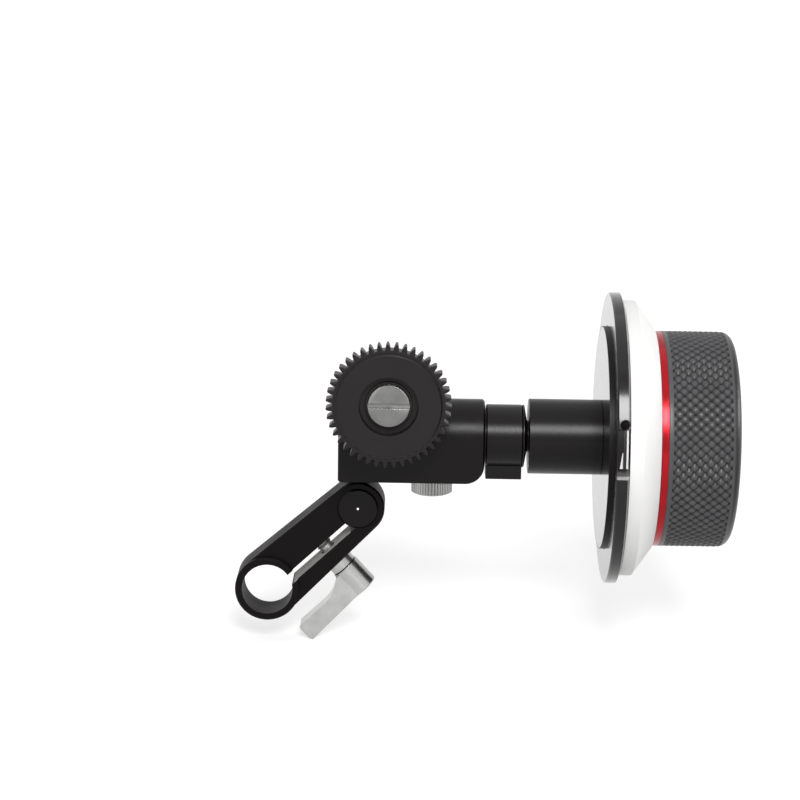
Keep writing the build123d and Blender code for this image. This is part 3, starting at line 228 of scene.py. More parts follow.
def along_way(tree, place_on, way, x, y, origin=(0, 0, 0)):
    """How far a place lies along a direction from an origin."""
    shift = node_at(tree, "ShaderNodeVectorMath", x, y, operation="SUBTRACT")
    shift.inputs[1].default_value = origin
    tree.links.new(place_on, shift.inputs[0])
    way_on = node_at(tree, "ShaderNodeVectorMath", x + 160, y, operation="DOT_PRODUCT")
    way_on.inputs[1].default_value = way
    tree.links.new(shift.outputs["Vector"], way_on.inputs[0])
    return way_on.outputs["Value"]


def combine(tree, operation, first, second, x, y):
    """A sum, product, comparison or limit of two values; the second may be a number."""
    made = node_at(tree, "ShaderNodeMath", x, y, operation=operation)
    tree.links.new(first, made.inputs[0])
    if isinstance(second, (int, float)):
        made.inputs[1].default_value = second
    else:
        tree.links.new(second, made.inputs[1])
    return made.outputs["Value"]


def within(tree, value, start, end, x, y):
    """1 where a value lies between two limits, or else 0."""
    above = combine(tree, "GREATER_THAN", value, start, x, y)
    below = combine(tree, "LESS_THAN", value, end, x, y - 150)
    return combine(tree, "MULTIPLY", above, below, x + 200, y)


def painted(finish, mask, inside):
    """Changes the base colour where a mask from 0 to 1 says so."""
    tree = finish.node_tree
    shader = tree.nodes["Principled BSDF"]
    shade = shader.inputs["Base Color"].links[0].from_socket
    over = node_at(tree, "ShaderNodeMix", -400, 500, data_type="RGBA")
    tree.links.new(mask, over.inputs["Factor"])
    tree.links.new(shade, over.inputs[6])
    over.inputs[7].default_value = (*inside, 1)
    tree.links.new(over.outputs[2], shader.inputs["Base Color"])
    return finish


def lighter(colour, factor):
    return tuple(min(1.0, c * factor) for c in colour)


def skin(tree, colour, rise, wide, rough_grain, rough_range, fine, strength, depth, ease=0.0):
    """Links a finish's colour, roughness and bump to its grains; depth and eased edges are in millimetres."""
    sockets = tree.nodes["Principled BSDF"].inputs
    tree.links.new(shades(tree, wide, colour, lighter(colour, rise), -650, 300), sockets["Base Color"])
    tree.links.new(mapped(tree, rough_grain, NOISE_RANGE, rough_range, -650, 50), sockets["Roughness"])
    edges = eased_edges(tree, ease * MM, -650, -450) if ease else None
    tree.links.new(bump(tree, fine, strength, depth * MM, -350, -250, edges), sockets["Normal"])


def blasted_finish(name, colour, roughness, gloss=0.12, speckle=3200, mottle=140):
    """Fine bead-blasted anodising: a satin skin with a small grain and a faint larger mottle."""
    finish, tree, shader = blank_finish(name)
    shader.inputs["Specular IOR Level"].default_value = gloss
    place_on = object_place(tree, -1400, 0)
    fine = grain(tree, place_on, speckle, 3, -1150, -250)
    wide = grain(tree, place_on, mottle, 4, -1150, 150)
    skin(tree, colour, 1.35, wide, wide, (roughness - 0.05, roughness + 0.06), fine, 0.35, 0.012, 0.15)
    return finish


def turned_finish(
    name, colour, metallic, roughness, gloss=0.15, ruling=9000, depth=0.006, rise=1.3, about=LOCAL_AXIS
):
    """A lathe-cut skin: fine rings round the piece's axis over a soft variation of colour and gloss."""
    finish, tree, shader = blank_finish(name)
    shader.inputs["Metallic"].default_value = metallic
    shader.inputs["Specular IOR Level"].default_value = gloss
    place_on = object_place(tree, -2100, 0)
    ruled = turned_lines(tree, place_on, -1900, -200, *about)
    rings = grain(tree, ruled, ruling, 2, -1000, -250)
    wide = grain(tree, place_on, 160, 4, -1000, 200)
    skin(tree, colour, rise, wide, rings, (roughness - 0.04, roughness + 0.05), rings, 0.3, depth, 0.12)
    return finish


def moulded_finish(name, colour, roughness, depth=0.01, rise=1.15, gloss=0.35):
    """Moulded or machined plastic: an even satin with a very fine texture."""
    finish, tree, shader = blank_finish(name)
    place_on = object_place(tree, -1400, 0)
    fine = grain(tree, place_on, 2400, 5, -1150, -250)
    wide = grain(tree, place_on, 90, 5, -1150, 150)
    shader.inputs["Specular IOR Level"].default_value = gloss
    skin(tree, colour, rise, wide, fine, (roughness - 0.03, roughness + 0.05), fine, 0.2, depth)
    return finish


def ground_finish(name, colour, roughness):
    """Ground or cast metal: a fine grain on a bright skin."""
    finish, tree, shader = blank_finish(name)
    shader.inputs["Metallic"].default_value = 1.0
    place_on = object_place(tree, -1400, 0)
    fine = grain(tree, place_on, 5200, 3, -1150, -250)
    wide = grain(tree, place_on, 240, 3, -1150, 150)
    skin(tree, colour, 1.2, wide, fine, (roughness - 0.05, roughness + 0.08), fine, 0.25, 0.004, 0.1)
    return finish


def faced_finish(name, colour):
    """A face turned on the lathe, whose rings throw the light into wedges from the middle."""
    finish = turned_finish(name, colour, metallic=1.0, roughness=0.34, gloss=0.5, ruling=6000)
    tree = finish.node_tree
    shader = tree.nodes["Principled BSDF"]
    shader.inputs["Anisotropic"].default_value = 0.75
    round_axis = node_at(tree, "ShaderNodeTangent", -350, -600, direction_type="RADIAL", axis="Z")
    tree.links.new(round_axis.outputs["Tangent"], shader.inputs["Tangent"])
    return finish


def link_finish(name, colour, slit_wall_grey):
    """The link's blasted anodising, with the walls of the slit between the two halves of its clamp painted
    light grey.
    """
    slit, bore_to_post, front = (0.86 * MM, 3.94 * MM), (7.1 * MM, 29.9 * MM), -6.9 * MM
    finish = blasted_finish(name, colour, roughness=0.5, gloss=0.1)
    tree = finish.node_tree
    place_on = object_place(tree, -2700, 700)
    across_slit = within(tree, along_way(tree, place_on, OUT_OF_CLAMP, -2500, 900), *slit, -2150, 900)
    along_slit = within(tree, along_way(tree, place_on, ALONG_LINK, -2500, 500), *bore_to_post, -2150, 500)
    walls = combine(tree, "MULTIPLY", across_slit, along_slit, -1700, 700)
    back = along_way(tree, place_on, (0, 1, 0), -2500, 200)
    behind = combine(tree, "GREATER_THAN", back, front, -2150, 200)
    # the slit's walls, behind the front, are painted light grey
    return painted(finish, combine(tree, "MULTIPLY", walls, behind, -1500, 600), slit_wall_grey)


def marker_finish(name, colour, black):
    """The marker's white plastic, with painted shade in black left of the strip, round a white pointer that
    widens downwards.
    """
    foot_width, taper, pointer_height = 0.85 * MM, -0.15, 4.4 * MM
    finish = moulded_finish(name, colour, roughness=0.4, depth=0.006, rise=1.05, gloss=0.2)
    tree = finish.node_tree
    place_on = object_place(tree, -2700, 700)
    left = along_way(tree, place_on, (-1, 0, 0), -2500, 900, (low("index_strip").x, 0, 0))
    up = along_way(tree, place_on, (0, 0, 1), -2500, 600, (0, 0, low("index_marker").z))
    width = combine(tree, "ADD", combine(tree, "MULTIPLY", up, taper, -2100, 600), foot_width, -1900, 600)
    outside = combine(tree, "GREATER_THAN", left, width, -1700, 700)
    above = combine(tree, "GREATER_THAN", up, pointer_height, -1700, 500)
    beside = combine(tree, "GREATER_THAN", left, 0.0, -1700, 900)
    shaded_round_pointer = combine(tree, "MAXIMUM", outside, above, -1500, 600)
    # painted shade: black over the white left of the strip, where the window's wall shades the marker; the
    # pointer stays white
    return painted(finish, combine(tree, "MULTIPLY", shaded_round_pointer, beside, -1300, 700), black)


def flange_finish(name, colour, ramp, lip_highlight):
    """Polished, sealed anodising, satin on the boss's edge, with the ramp below the flange's window painted
    mid grey and a painted highlight on its lip.
    """
    coat, coat_rough, coat_index, satin = 0.6, 0.12, 1.3, 0.42
    boss_edge, rim_width, rim_front = (32.35 * MM, 32.8 * MM), 3.5 * MM, 38 * MM
    finish = turned_finish(
        name, colour, metallic=0.0, roughness=0.16, gloss=0.2, ruling=7000, depth=0.002, about=WHEEL_AXIS
    )
    tree = finish.node_tree
    shader = tree.nodes["Principled BSDF"]
    shader.inputs["Coat Weight"].default_value = coat
    shader.inputs["Coat Roughness"].default_value = coat_rough
    shader.inputs["Coat IOR"].default_value = coat_index
    edge = within(tree, turned_radius(tree, -2700, 700, WHEEL_AXIS), *boss_edge, -1400, 800)
    polish = shader.inputs["Roughness"].links[0].from_socket
    rough = combine(tree, "MAXIMUM", polish, combine(tree, "MULTIPLY", edge, satin, -1000, 700), -800, 700)
    tree.links.new(rough, shader.inputs["Roughness"])
    sealed = combine(tree, "ADD", combine(tree, "MULTIPLY", edge, -coat, -1000, 500), coat, -800, 500)
    tree.links.new(sealed, shader.inputs["Coat Weight"])

    place_on = object_place(tree, -2700, 1300)
    out = along_way(tree, place_on, (0, -1, 0), -2500, 1500, RING)
    up = along_way(tree, place_on, (0, 0, 1), -2500, 1300, RING)
    across_rim = along_way(tree, place_on, (1, 0, 0), -2500, 1700, high("index_flange"))
    rim = combine(tree, "GREATER_THAN", across_rim, -rim_width, -2100, 1700)
    front = combine(tree, "GREATER_THAN", out, rim_front, -2100, 1500)
    rim_at_front = combine(tree, "MULTIPLY", front, rim, -1900, 1600)
    # painted below the window: the ramp mid grey, and its lip lighter as a painted highlight
    bands = ((-2.2 * MM, 0.75 * MM, ramp, 1300), (-2.3 * MM, -1.55 * MM, lip_highlight, 1000))
    for bottom, top, shade, y in bands:
        inside = within(tree, up, bottom, top, -2100, y)
        painted(finish, combine(tree, "MULTIPLY", inside, rim_at_front, -1700, y), shade)
    return finish


def knurled_finish(name, colour, pit_shade):
    """The wheel's anodising, with painted shade that darkens it deep in the knurl's grooves and fades out
    towards the tops of its diamonds.
    """
    full_shade_below, shade_ends_above = 0.88, 0.3  # shares of the knurl's depth
    wheel = bpy.context.scene.focus_wheel
    finish = turned_finish(name, colour, metallic=0.0, roughness=0.36, gloss=0.28, ruling=7000)
    tree = finish.node_tree
    depths = [wheel.radius - part * wheel.knurl_depth for part in (full_shade_below, shade_ends_above)]
    # painted shade: the base colour darkens towards the bottoms of the knurl's grooves
    pit_shade_mask = mapped(tree, turned_radius(tree, -2100, 700, LOCAL_AXIS), depths, (1.0, 0.0), -900, 700)
    return painted(finish, pit_shade_mask, pit_shade)


FINISHES = {}


def finish_for(slot):
    """The finish of a material slot, made once from the colours in the panel."""
    if slot not in FINISHES:
        maker, *how = finish_makers()[slot]
        FINISHES[slot] = maker(slot, *how)
    return FINISHES[slot]


def finish_makers():
    """What makes each finish, with what it takes after the name."""
    c = bpy.context.scene.focus_colours
    black, silver, white = c.black[:], c.silver[:], c.white[:]
    return {
        "black_anodised": (blasted_finish, black, 0.33, 0.15),
        # the last colour is the light grey painted on the walls of the link's slit
        "link_black": (link_finish, black, (0.45, 0.44, 0.43)),
        # the last two colours: the ramp below the window, and the painted highlight on its lip
        "flange_black": (flange_finish, black, (0.1, 0.1, 0.1), (0.36, 0.36, 0.35)),
        "ball_black": (moulded_finish, black, 0.5, 0.004, 1.3, 0.06),
        "collar_black": (turned_finish, black, 0.0, 0.3, 0.18, 9000, 0.006, 1.3, WHEEL_AXIS),
        "post_black": (turned_finish, black, 0.0, 0.28, 0.15, 5000, 0.01),
        "hub_black": (turned_finish, black, 0.0, 0.36, 0.15, 8000, 0.008, 1.3, WHEEL_AXIS),
        "tube_black": (turned_finish, black, 0.0, 0.3, 0.18, 11000, 0.005),
        # the last colour is the painted shade deep in the knurl's grooves
        "wheel_knurl": (knurled_finish, c.wheel[:], (0.002, 0.002, 0.002)),
        "red_anodised": (turned_finish, c.red[:], 0.72, 0.23, 0.5, 9000, 0.004, 1.2),
        "gear_plastic": (moulded_finish, c.gear[:], 0.36, 0.012, 1.3, 0.2),
        "silver": (ground_finish, silver, 0.24),
        "silver_turned": (turned_finish, silver, 1.0, 0.3, 0.5, 7000, 0.006, 1.15),
        "friction_silver": (ground_finish, lighter(silver, 0.75), 0.3),
        "screw_face": (faced_finish, lighter(silver, 0.38)),
        # a near-white metal as a painted glint in the post's centre mark
        "centre_mark": (ground_finish, (0.95, 0.95, 0.95), 0.5),
        "steel": (ground_finish, (0.5, 0.5, 0.51), 0.3),
        "spring_steel": (blasted_finish, (0.05, 0.05, 0.055), 0.4),
        "screw_steel": (blasted_finish, (0.03, 0.03, 0.032), 0.34, 0.4, 4200, 300),
        "bronze": (ground_finish, (0.55, 0.36, 0.17), 0.42),
        "nylon": (moulded_finish, (0.72, 0.71, 0.66), 0.5, 0.01, 1.06),
        # the black is painted shade on the marker left of its strip
        "marker_white": (marker_finish, lighter(white, 0.9), black),
        "marker_black": (moulded_finish, black, 0.36, 0.008, 1.3),
        "disc_white": (moulded_finish, white, 0.42, 0.008, 1.04),
        "magnet_nickel": (ground_finish, (0.62, 0.61, 0.58), 0.18),
        "keeper_steel": (ground_finish, (0.5, 0.5, 0.5), 0.3),
    }


# ---------------------------------------------------------------- mesh making
def softened(profile, edge, closed, steps):
    """The profile with each corner rounded by a small edge, so that it catches the light."""
    most = 0.45  # share of a side that a corner may take
    made = []
    count = len(profile)
    for i, corner in enumerate(profile):
        if not closed and i in (0, count - 1):
            made.append(corner)
            continue
        here, before, after = (Vector(profile[j % count]) for j in (i, i - 1, i + 1))
        a, b = before - here, after - here
        reach = min(edge, most * a.length, most * b.length)
        straight = abs(a.angle(b, 0.0) - pi) < radians(8)
        if straight or reach < 1e-6:
            made.append(corner)
            continue
        start, end = here + a.normalized() * reach, here + b.normalized() * reach
        for k in range(steps + 1):
            t = k / steps
            point = start * (1 - t) ** 2 + here * 2 * t * (1 - t) + end * t**2
            made.append(tuple(point))
    return made


def mesh_object(name, made, at, sharp=30.0, weighted=True):
    """Object from a bmesh, smooth except at edges sharper than the given angle."""
    bmesh.ops.remove_doubles(made, verts=made.verts, dist=1e-7)
    bmesh.ops.recalc_face_normals(made, faces=made.faces)
    for face in made.faces:
        face.smooth = True
    for seam in made.edges:
        if len(seam.link_faces) == 2 and seam.calc_face_angle(0.0) > radians(sharp):
            seam.smooth = False
    mesh = bpy.data.meshes.new(name)
    made.to_mesh(mesh)
    made.free()
    piece = bpy.data.objects.new(name, mesh)
    bpy.context.scene.collection.objects.link(piece)
    piece.matrix_world = at
    if weighted:
        normals = piece.modifiers.new("even_normals", "WEIGHTED_NORMAL")
        normals.keep_sharp = True
        normals.weight = 80
    return piece


def turned(made, profile, edge, closed=False, sides=144, steps=3):
    """Adds a body turned about local z from (along, radius) points."""
    points = softened(profile, edge, closed, steps)
    rows = []
    for along, radius in points:
        if radius < 1e-8:
            rows.append([made.verts.new((0, 0, along))])
            continue
        turn = [2 * pi * k / sides for k in range(sides)]
        rows.append([made.verts.new((radius * cos(t), radius * sin(t), along)) for t in turn])
    pairs = list(zip(rows, rows[1:]))
    if closed:
        pairs.append((rows[-1], rows[0]))
    for a, b in pairs:
        for k in range(sides):
            m = (k + 1) % sides
            if len(a) == 1 and len(b) == 1:
                break
            if len(a) == 1:
                made.faces.new((a[0], b[k], b[m]))
            elif len(b) == 1:
                made.faces.new((a[k], b[0], a[m]))
            else:
                made.faces.new((a[k], b[k], b[m], a[m]))


def turned_piece(name, profile, at, edge, closed=False, sides=144, steps=3):
    made = bmesh.new()
    turned(made, profile, edge, closed, sides, steps)
    return mesh_object(name, made, at)


def arc(centre, radius, start, end, count):
    """Points along an arc, angles in degrees."""
    turns = [radians(start + (end - start) * k / count) for k in range(count + 1)]
    return [(centre[0] + radius * cos(t), centre[1] + radius * sin(t)) for t in turns]


def inset(loop, distance):
    """The closed loop moved inwards (for a loop that runs counter-clockwise) by a small distance."""
    made = []
    count = len(loop)
    for i in range(count):
        a, b, c = (Vector(loop[(i + k) % count]) for k in (-1, 0, 1))
        first, second = (b - a).normalized(), (c - b).normalized()
        side_1, side_2 = Vector((-first.y, first.x)), Vector((-second.y, second.x))
        mean = side_1 + side_2
        if mean.length < 1e-6:
            made.append(tuple(b))
            continue
        mean.normalize()
        made.append(tuple(b + mean * distance / max(0.35, mean.dot(side_1))))
    return made


def slab(made, outline, holes, back, front, edge):
    """Adds a flat plate between two heights whose outline has eased edges; holes run clockwise."""

    def wall(loop, ease):
        third = 0.3
        heights = [
            (back, 1.0), (back + third * ease, third), (back + ease, 0.0),
            (front - ease, 0.0), (front - third * ease, third), (front, 1.0),
        ]
        if not ease:
            heights = [(back, 0.0), (front, 0.0)]
        rows = []
        for height, part in heights:
            moved = inset(loop, ease * part) if ease else loop
            rows.append([made.verts.new((x, y, height)) for x, y in moved])
        for a, b in zip(rows, rows[1:]):
            for k in range(len(a)):
                m = (k + 1) % len(a)
                made.faces.new((a[k], a[m], b[m], b[k]))
        return rows[0], rows[-1]

    walls = [wall(outline, edge)] + [wall(hole, 0.0) for hole in holes]
    for level in zip(*walls):
        rim = []
        for row in level:
            for k in range(len(row)):
                pair = (row[k], row[(k + 1) % len(row)])
                rim.append(made.edges.get(pair) or made.edges.new(pair))
        bmesh.ops.triangle_fill(made, use_beauty=True, use_dissolve=False, edges=rim)


def dress(piece, body, slot, finish=None, replaces=()):
    """Gives a finished piece its body and finish (that of its slot, unless another is named), and hides the
    solids that it stands for.
    """
    piece.data.materials.clear()
    piece.data.materials.append(finish_for(finish or slot))
    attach(piece, body)
    if replaces:
        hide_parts(*replaces)
    return piece


def dress_solids(*names, finish=None):
    """Gives solids whose shape is right the finish of their slot, or another one."""
    slots = {part["node"]: part["material_slot"] for part in frame["record"]["subparts"]}
    for name in names:
        solid = frame["nodes"][name]
        solid.data.materials.clear()
        solid.data.materials.append(finish_for(finish or slots[name]))


# ---------------------------------------------------------------- sizes and colours
def length(name, description, default):
    return FloatProperty(name=name, description=description, default=default, unit="LENGTH", precision=5)


def amount(name, description, default, least, most):
    return FloatProperty(name=name, description=description, default=default, min=least, max=most)


def watts(name, description, default):
    return FloatProperty(name=name, description=description, default=default, unit="POWER")


def number(name, description, default, least, most):
    return IntProperty(name=name, description=description, default=default, min=least, max=most)


def colour(name, description, default):
    return FloatVectorProperty(
        name=name, description=description, default=default, subtype="COLOR", size=3, min=0.0, max=1.0
    )


class FocusColours(PropertyGroup):
    """Colours of the finishes."""

    black: colour("Black", "Black anodising of the metal parts", (0.0026, 0.0016, 0.0019))
    wheel: colour("Handwheel", "Dark grey anodising of the knurled handwheel", (0.06, 0.059, 0.062))
    red: colour("Red ring", "Red anodising of the ring beside the handwheel", (0.3, 0.0015, 0.006))
    gear: colour("Drive gear", "Black plastic of the drive gear", (0.0095, 0.0076, 0.0086))
    silver: colour("Bright metal", "Clear anodised lever and screws", (0.4, 0.4, 0.395))
    white: colour("White", "White plastic of the marking disc and the index marker", (0.84, 0.84, 0.83))
    floor: colour("Floor", "Paper of the floor", (0.6, 0.6, 0.6))


class GearSizes(PropertyGroup):
    """Sizes of the drive gear."""

    teeth: number("Teeth", "Number of teeth", 43, 12, 120)
    module: length("Module", "Tooth module", 0.8 * MM)
    backlash: length("Backlash", "Thinning of the teeth at the pitch circle", 0.24 * MM)
    tip: length("Tip radius", "Radius over the teeth", half_height("drive_gear"))
    root: length("Root depth", "Depth of the gaps below the pitch circle", 1.1 * MM)
    edge: length("Tooth edge", "Eased edge of the teeth", 0.22 * MM)
    disc: length("Hub disc radius", "Radius of the raised disc on the front", 15.2 * MM)
    turn: FloatProperty(
        name="Turn", description="How far the gear is turned at rest", default=radians(1.5), subtype="ANGLE"
    )


class WheelSizes(PropertyGroup):
    """Sizes of the handwheel and the marking disc."""

    radius: length("Wheel radius", "Radius over the knurl", half_height("handwheel"))
    knurl_depth: length("Knurl depth", "Depth of the knurl's grooves", 0.6 * MM)
    knurl_length: length("Knurl length", "Length of one diamond along the axis", 3.1 * MM)
    knurl_count: number("Knurl count", "Diamonds round the wheel", 71, 20, 200)
    knurl_top: amount("Knurl tops", "Width of each diamond's flat top, as a share", 0.28, 0.05, 0.8)
    knurl_ridge: amount("Knurl ridges", "Depth of the grooves between crossings, as a share", 0.6, 0.1, 1.0)
    band: length("Smooth band", "Plain band beside the red ring", 1.3 * MM)
    rounding: length("Rounding", "Rounded outer edge", 3.4 * MM)
    end_band: length("End band", "From the knurl to the outer face", 2.7 * MM)


class StageSizes(PropertyGroup):
    """Camera and light."""

    lens: FloatProperty(name="Lens", description="Focal length of the camera", default=104.41, unit="CAMERA")
    sky: amount("Sky", "Strength of the even light all round", 0.22, 0.0, 3.0)
    key: watts("Key lamp", "Power of the soft lamp in front", 9.2)
    side: watts("Side lamp", "Power of the lamp at the right", 3.5)
    top: watts("Top lamp", "Power of the lamp above", 2.0)
    ground: amount("Paper", "Own brightness of the white floor by the unit", 0.6, 0.0, 1.0)


# ---------------------------------------------------------------- the link and its clamp
class FOCUS_OT_link(Operator):
    """Finish the rod link"""

    bl_idname = "focus.link"
    bl_label = "Rod link"

    def execute(self, context):
        dress_solids("link_arm", finish="link_black")
        return {"FINISHED"}


class FOCUS_OT_post(Operator):
    """Make the swing post with its turned face and centre mark, with a painted glint in the mark"""

    bl_idname = "focus.post"
    bl_label = "Swing post"

    def execute(self, context):
        radius = half_height("swing_post")
        front, back = -low("swing_post").y, -high("swing_post").y
        chamfer, mark = 0.5 * MM, 0.4 * MM
        profile = [
            (back, 0), (back, radius), (front - chamfer, radius), (front, radius - chamfer),
            (front, mark), (front - mark, 0),
        ]
        post = turned_piece("swing_post_turned", profile, POST_PLACE, edge=0.1 * MM)
        dress(post, "gearbox", "post_black", replaces=["swing_post"])
        # painted highlight: the faces in the middle of the centre mark get a near-white metal as a glint
        post.data.materials.append(finish_for("centre_mark"))
        glint_radius = 0.3 * MM
        for face in post.data.polygons:
            face.material_index = int(face.center.xy.length < glint_radius and face.center.z > 0)
        return {"FINISHED"}


class FOCUS_OT_lever(Operator):
    """Finish the clamp lever, its collar and screws, and cut the thread that shows in the slit"""

    bl_idname = "focus.lever"
    bl_label = "Clamp lever"

    def execute(self, context):
        dress_solids("clamp_lever", "lever_collar", "lever_screw")
        radius, pitch, groove, turns = 2.5 * MM, 0.7 * MM, 0.42 * MM, 12
        shank = radius - 0.4 * MM
        tip, thread_start, thread_end, head = -6.0 * MM, -5.9 * MM, 2.6 * MM, 17.4 * MM
        profile = [(tip, 0), (tip, radius - 0.3 * MM)]
        for k in range(turns):
            start = thread_start + k * pitch
            profile += [(start, radius - groove), (start + pitch / 2, radius)]
        profile += [(thread_end, shank), (head, shank), (head, 0)]
        screw = turned_piece("clamp_screw_threaded", profile, CLAMP_PLACE, edge=0.05 * MM, sides=72, steps=2)
        dress(screw, "lever", "steel", finish="silver_turned", replaces=["clamp_screw"])
        return {"FINISHED"}


# ---------------------------------------------------------------- gearbox
class FOCUS_OT_gearbox(Operator):
    """Finish the housing, the rear plate and their screws"""

    bl_idname = "focus.gearbox"
    bl_label = "Gearbox"

    def execute(self, context):
        dress_solids("gearbox_housing", "rear_plate", "plate_screws", "post_screw")
        return {"FINISHED"}


class FOCUS_OT_works(Operator):
    """Finish the shafts, gears, bushes, bearing and fastenings inside the unit"""

    bl_idname = "focus.works"
    bl_label = "Inner works"

    def execute(self, context):
        dress_solids(
            "idler_bushes", "output_bushes", "idler_shaft", "idler_bevel", "idler_spacer", "idler_spur",
            "output_shaft", "output_spur", "spindle", "input_bevel", "bevel_pin", "spindle_bush",
            "spindle_bearing", "bearing_clip", "spindle_washer", "spindle_screw", "friction_pad",
            "wheel_screws", "disc_magnets", "keeper_ring", "flange_screws",
        )
        return {"FINISHED"}


class FOCUS_OT_collar(Operator):
    """Finish the clamp collar and its screw"""

    bl_idname = "focus.collar"
    bl_label = "Clamp collar"

    def execute(self, context):
        dress_solids("clamp_collar", finish="collar_black")
        dress_solids("collar_screw")
        return {"FINISHED"}


class FOCUS_OT_tube(Operator):
    """Make the spindle tube with its rim, cone and groove"""

    bl_idname = "focus.tube"
    bl_label = "Spindle tube"

    def execute(self, context):
        start, end = across("spindle_tube", 0), across("spindle_tube", 1)
        radius, rim, spigot, neck = half_height("spindle_tube"), 9.2 * MM, 6.7 * MM, 4.6 * MM
        bush, bearing, bore = 4.75 * MM, 7.55 * MM, 3.6 * MM
        bush_end, bearing_end, tube_left = start + 6.0 * MM, end - 6.5 * MM, end - 21.2 * MM
        rim_left = across("clamp_collar", 1) + 0.1 * MM
        rim_right = rim_left + 0.5 * MM
        cone_end = rim_right + 0.87 * MM
        profile = [
            (start, bush), (start, spigot), (rim_left, spigot), (rim_left, rim), (rim_right, rim),
            (cone_end, neck), (tube_left, neck), (tube_left, radius), (end, radius),
            (end, bearing), (bearing_end, bearing), (bearing_end, bore), (bush_end, bore), (bush_end, bush),
        ]
        tube = turned_piece("spindle_tube_turned", profile, WHEEL_PLACE, edge=0.14 * MM, closed=True)
        dress(tube, "gearbox", "black_anodised", finish="tube_black", replaces=["spindle_tube"])
        return {"FINISHED"}


class FOCUS_OT_friction(Operator):
    """Finish the knurled friction screw under the housing"""

    bl_idname = "focus.friction"
    bl_label = "Friction screw"

    def execute(self, context):
        dress_solids("friction_screw", finish="friction_silver")
        return {"FINISHED"}


# ---------------------------------------------------------------- drive gear
PRESSURE_ANGLE = radians(20)


def involute(angle):
    return tan(angle) - angle


def gear_outline(s):
    """Closed outline of the drive gear, counter-clockwise, with rounded tips and roots."""
    pitch = s.module * s.teeth / 2
    base = pitch * cos(PRESSURE_ANGLE)
    root = pitch - s.root
    half_pitch = (pi * s.module / 2 - s.backlash) / 2 / pitch

    def half_angle(radius):
        at = acos(min(1.0, base / max(radius, base)))
        return half_pitch + involute(PRESSURE_ANGLE) - involute(at)

    up_the_flank = (0.0, 0.2, 0.4, 0.6, 0.8, 0.93)  # shares of the way from the base circle to the tip
    root_out, fillet_out, fillet_up = 0.16, 0.04, 0.12  # shares of the gap's width and of the root's depth
    shoulder_drop, shoulder_out, top_out = 0.02 * MM, 0.8, 0.35  # rounding of the tip
    levels = [base + (s.tip - base) * t for t in up_the_flank]
    tip_half = half_angle(s.tip)
    foot = half_angle(base)
    points = []
    step = 2 * pi / s.teeth
    gap = step - 2 * foot
    for i in range(s.teeth):
        centre = pi / 2 + s.turn + i * step
        flank = [(root, foot + root_out * gap), (root + fillet_up * (base - root), foot + fillet_out * gap)]
        flank += [(r, half_angle(r)) for r in levels]
        flank += [(s.tip - shoulder_drop, shoulder_out * tip_half), (s.tip, top_out * tip_half)]
        rising = [(r * cos(centre - a), r * sin(centre - a)) for r, a in flank]
        falling = [(r * cos(centre + a), r * sin(centre + a)) for r, a in reversed(flank)]
        points += rising + falling
    return points


class FOCUS_OT_gear(Operator):
    """Make the drive gear with its raised hub disc and counterbore"""

    bl_idname = "focus.gear"
    bl_label = "Drive gear"

    def execute(self, context):
        s = context.scene.focus_gear
        back = RING.y - high("drive_gear").y
        hub_front = RING.y - low("drive_gear").y
        teeth_front = hub_front - 0.8 * MM
        hollow, counterbore, well, shaft_seat, bore = 14.2 * MM, 8.4 * MM, 6.7 * MM, 5.5 * MM, 2.52 * MM
        seat = hub_front - 3.4 * MM
        bottom = seat + 0.6 * MM
        shaft_end = bottom - 1.4 * MM
        chamfer = 0.5 * MM
        disc_foot = teeth_front - 0.3 * MM
        made = bmesh.new()
        slab(made, gear_outline(s), [arc((0, 0), hollow, 360, 0, 144)[:-1]], back, teeth_front, s.edge)
        profile = [
            (back, hollow), (back + 0.02 * MM, bore), (shaft_end, bore), (shaft_end, shaft_seat),
            (bottom, shaft_seat), (bottom, well), (seat, well), (seat, counterbore), (hub_front, counterbore),
            (hub_front, s.disc - chamfer), (hub_front - chamfer, s.disc), (disc_foot, s.disc),
            (disc_foot, hollow),
        ]
        turned(made, profile, edge=0.16 * MM, sides=172)
        gear = mesh_object("drive_gear_cut", made, GEAR_PLACE)
        dress(gear, "output", "gear_plastic", replaces=["drive_gear"])
        self.screw(hub_front)
        return {"FINISHED"}

    def screw(self, hub_front):
        """The slotted screw in the middle of the gear."""
        face, seat = RING.y - low("gear_screw").y, hub_front - 2.8 * MM
        slot_floor, half_slot = face - 1.0 * MM, 0.65 * MM
        radius, shank, end = half_height("gear_screw"), 1.5 * MM, seat - 6.9 * MM
        made = bmesh.new()
        slab(made, arc((0, 0), radius, 0, 360, 120)[:-1], [], seat, slot_floor, 0.02 * MM)
        side = degrees(asin(half_slot / radius))
        for start in (side, 180 + side):
            cap = arc((0, 0), radius, start, start + 180 - 2 * side, 64)
            slab(made, cap, [], slot_floor, face, 0.22 * MM)
        turned(made, [(seat, 0), (seat, shank), (end, shank), (end, 0)], edge=0.05 * MM, sides=48)
        screw = mesh_object("gear_screw_slotted", made, GEAR_PLACE)
        dress(screw, "output", "silver", finish="screw_face", replaces=["gear_screw"])


# ---------------------------------------------------------------- index flange
class FOCUS_OT_flange(Operator):
    """Finish the index flange and the white marker in its window"""

    bl_idname = "focus.flange"
    bl_label = "Index flange"

    def execute(self, context):
        dress_solids("index_flange", finish="flange_black")
        dress_solids("index_marker", "index_strip")
        dress_solids("index_screw", finish="ball_black")
        return {"FINISHED"}


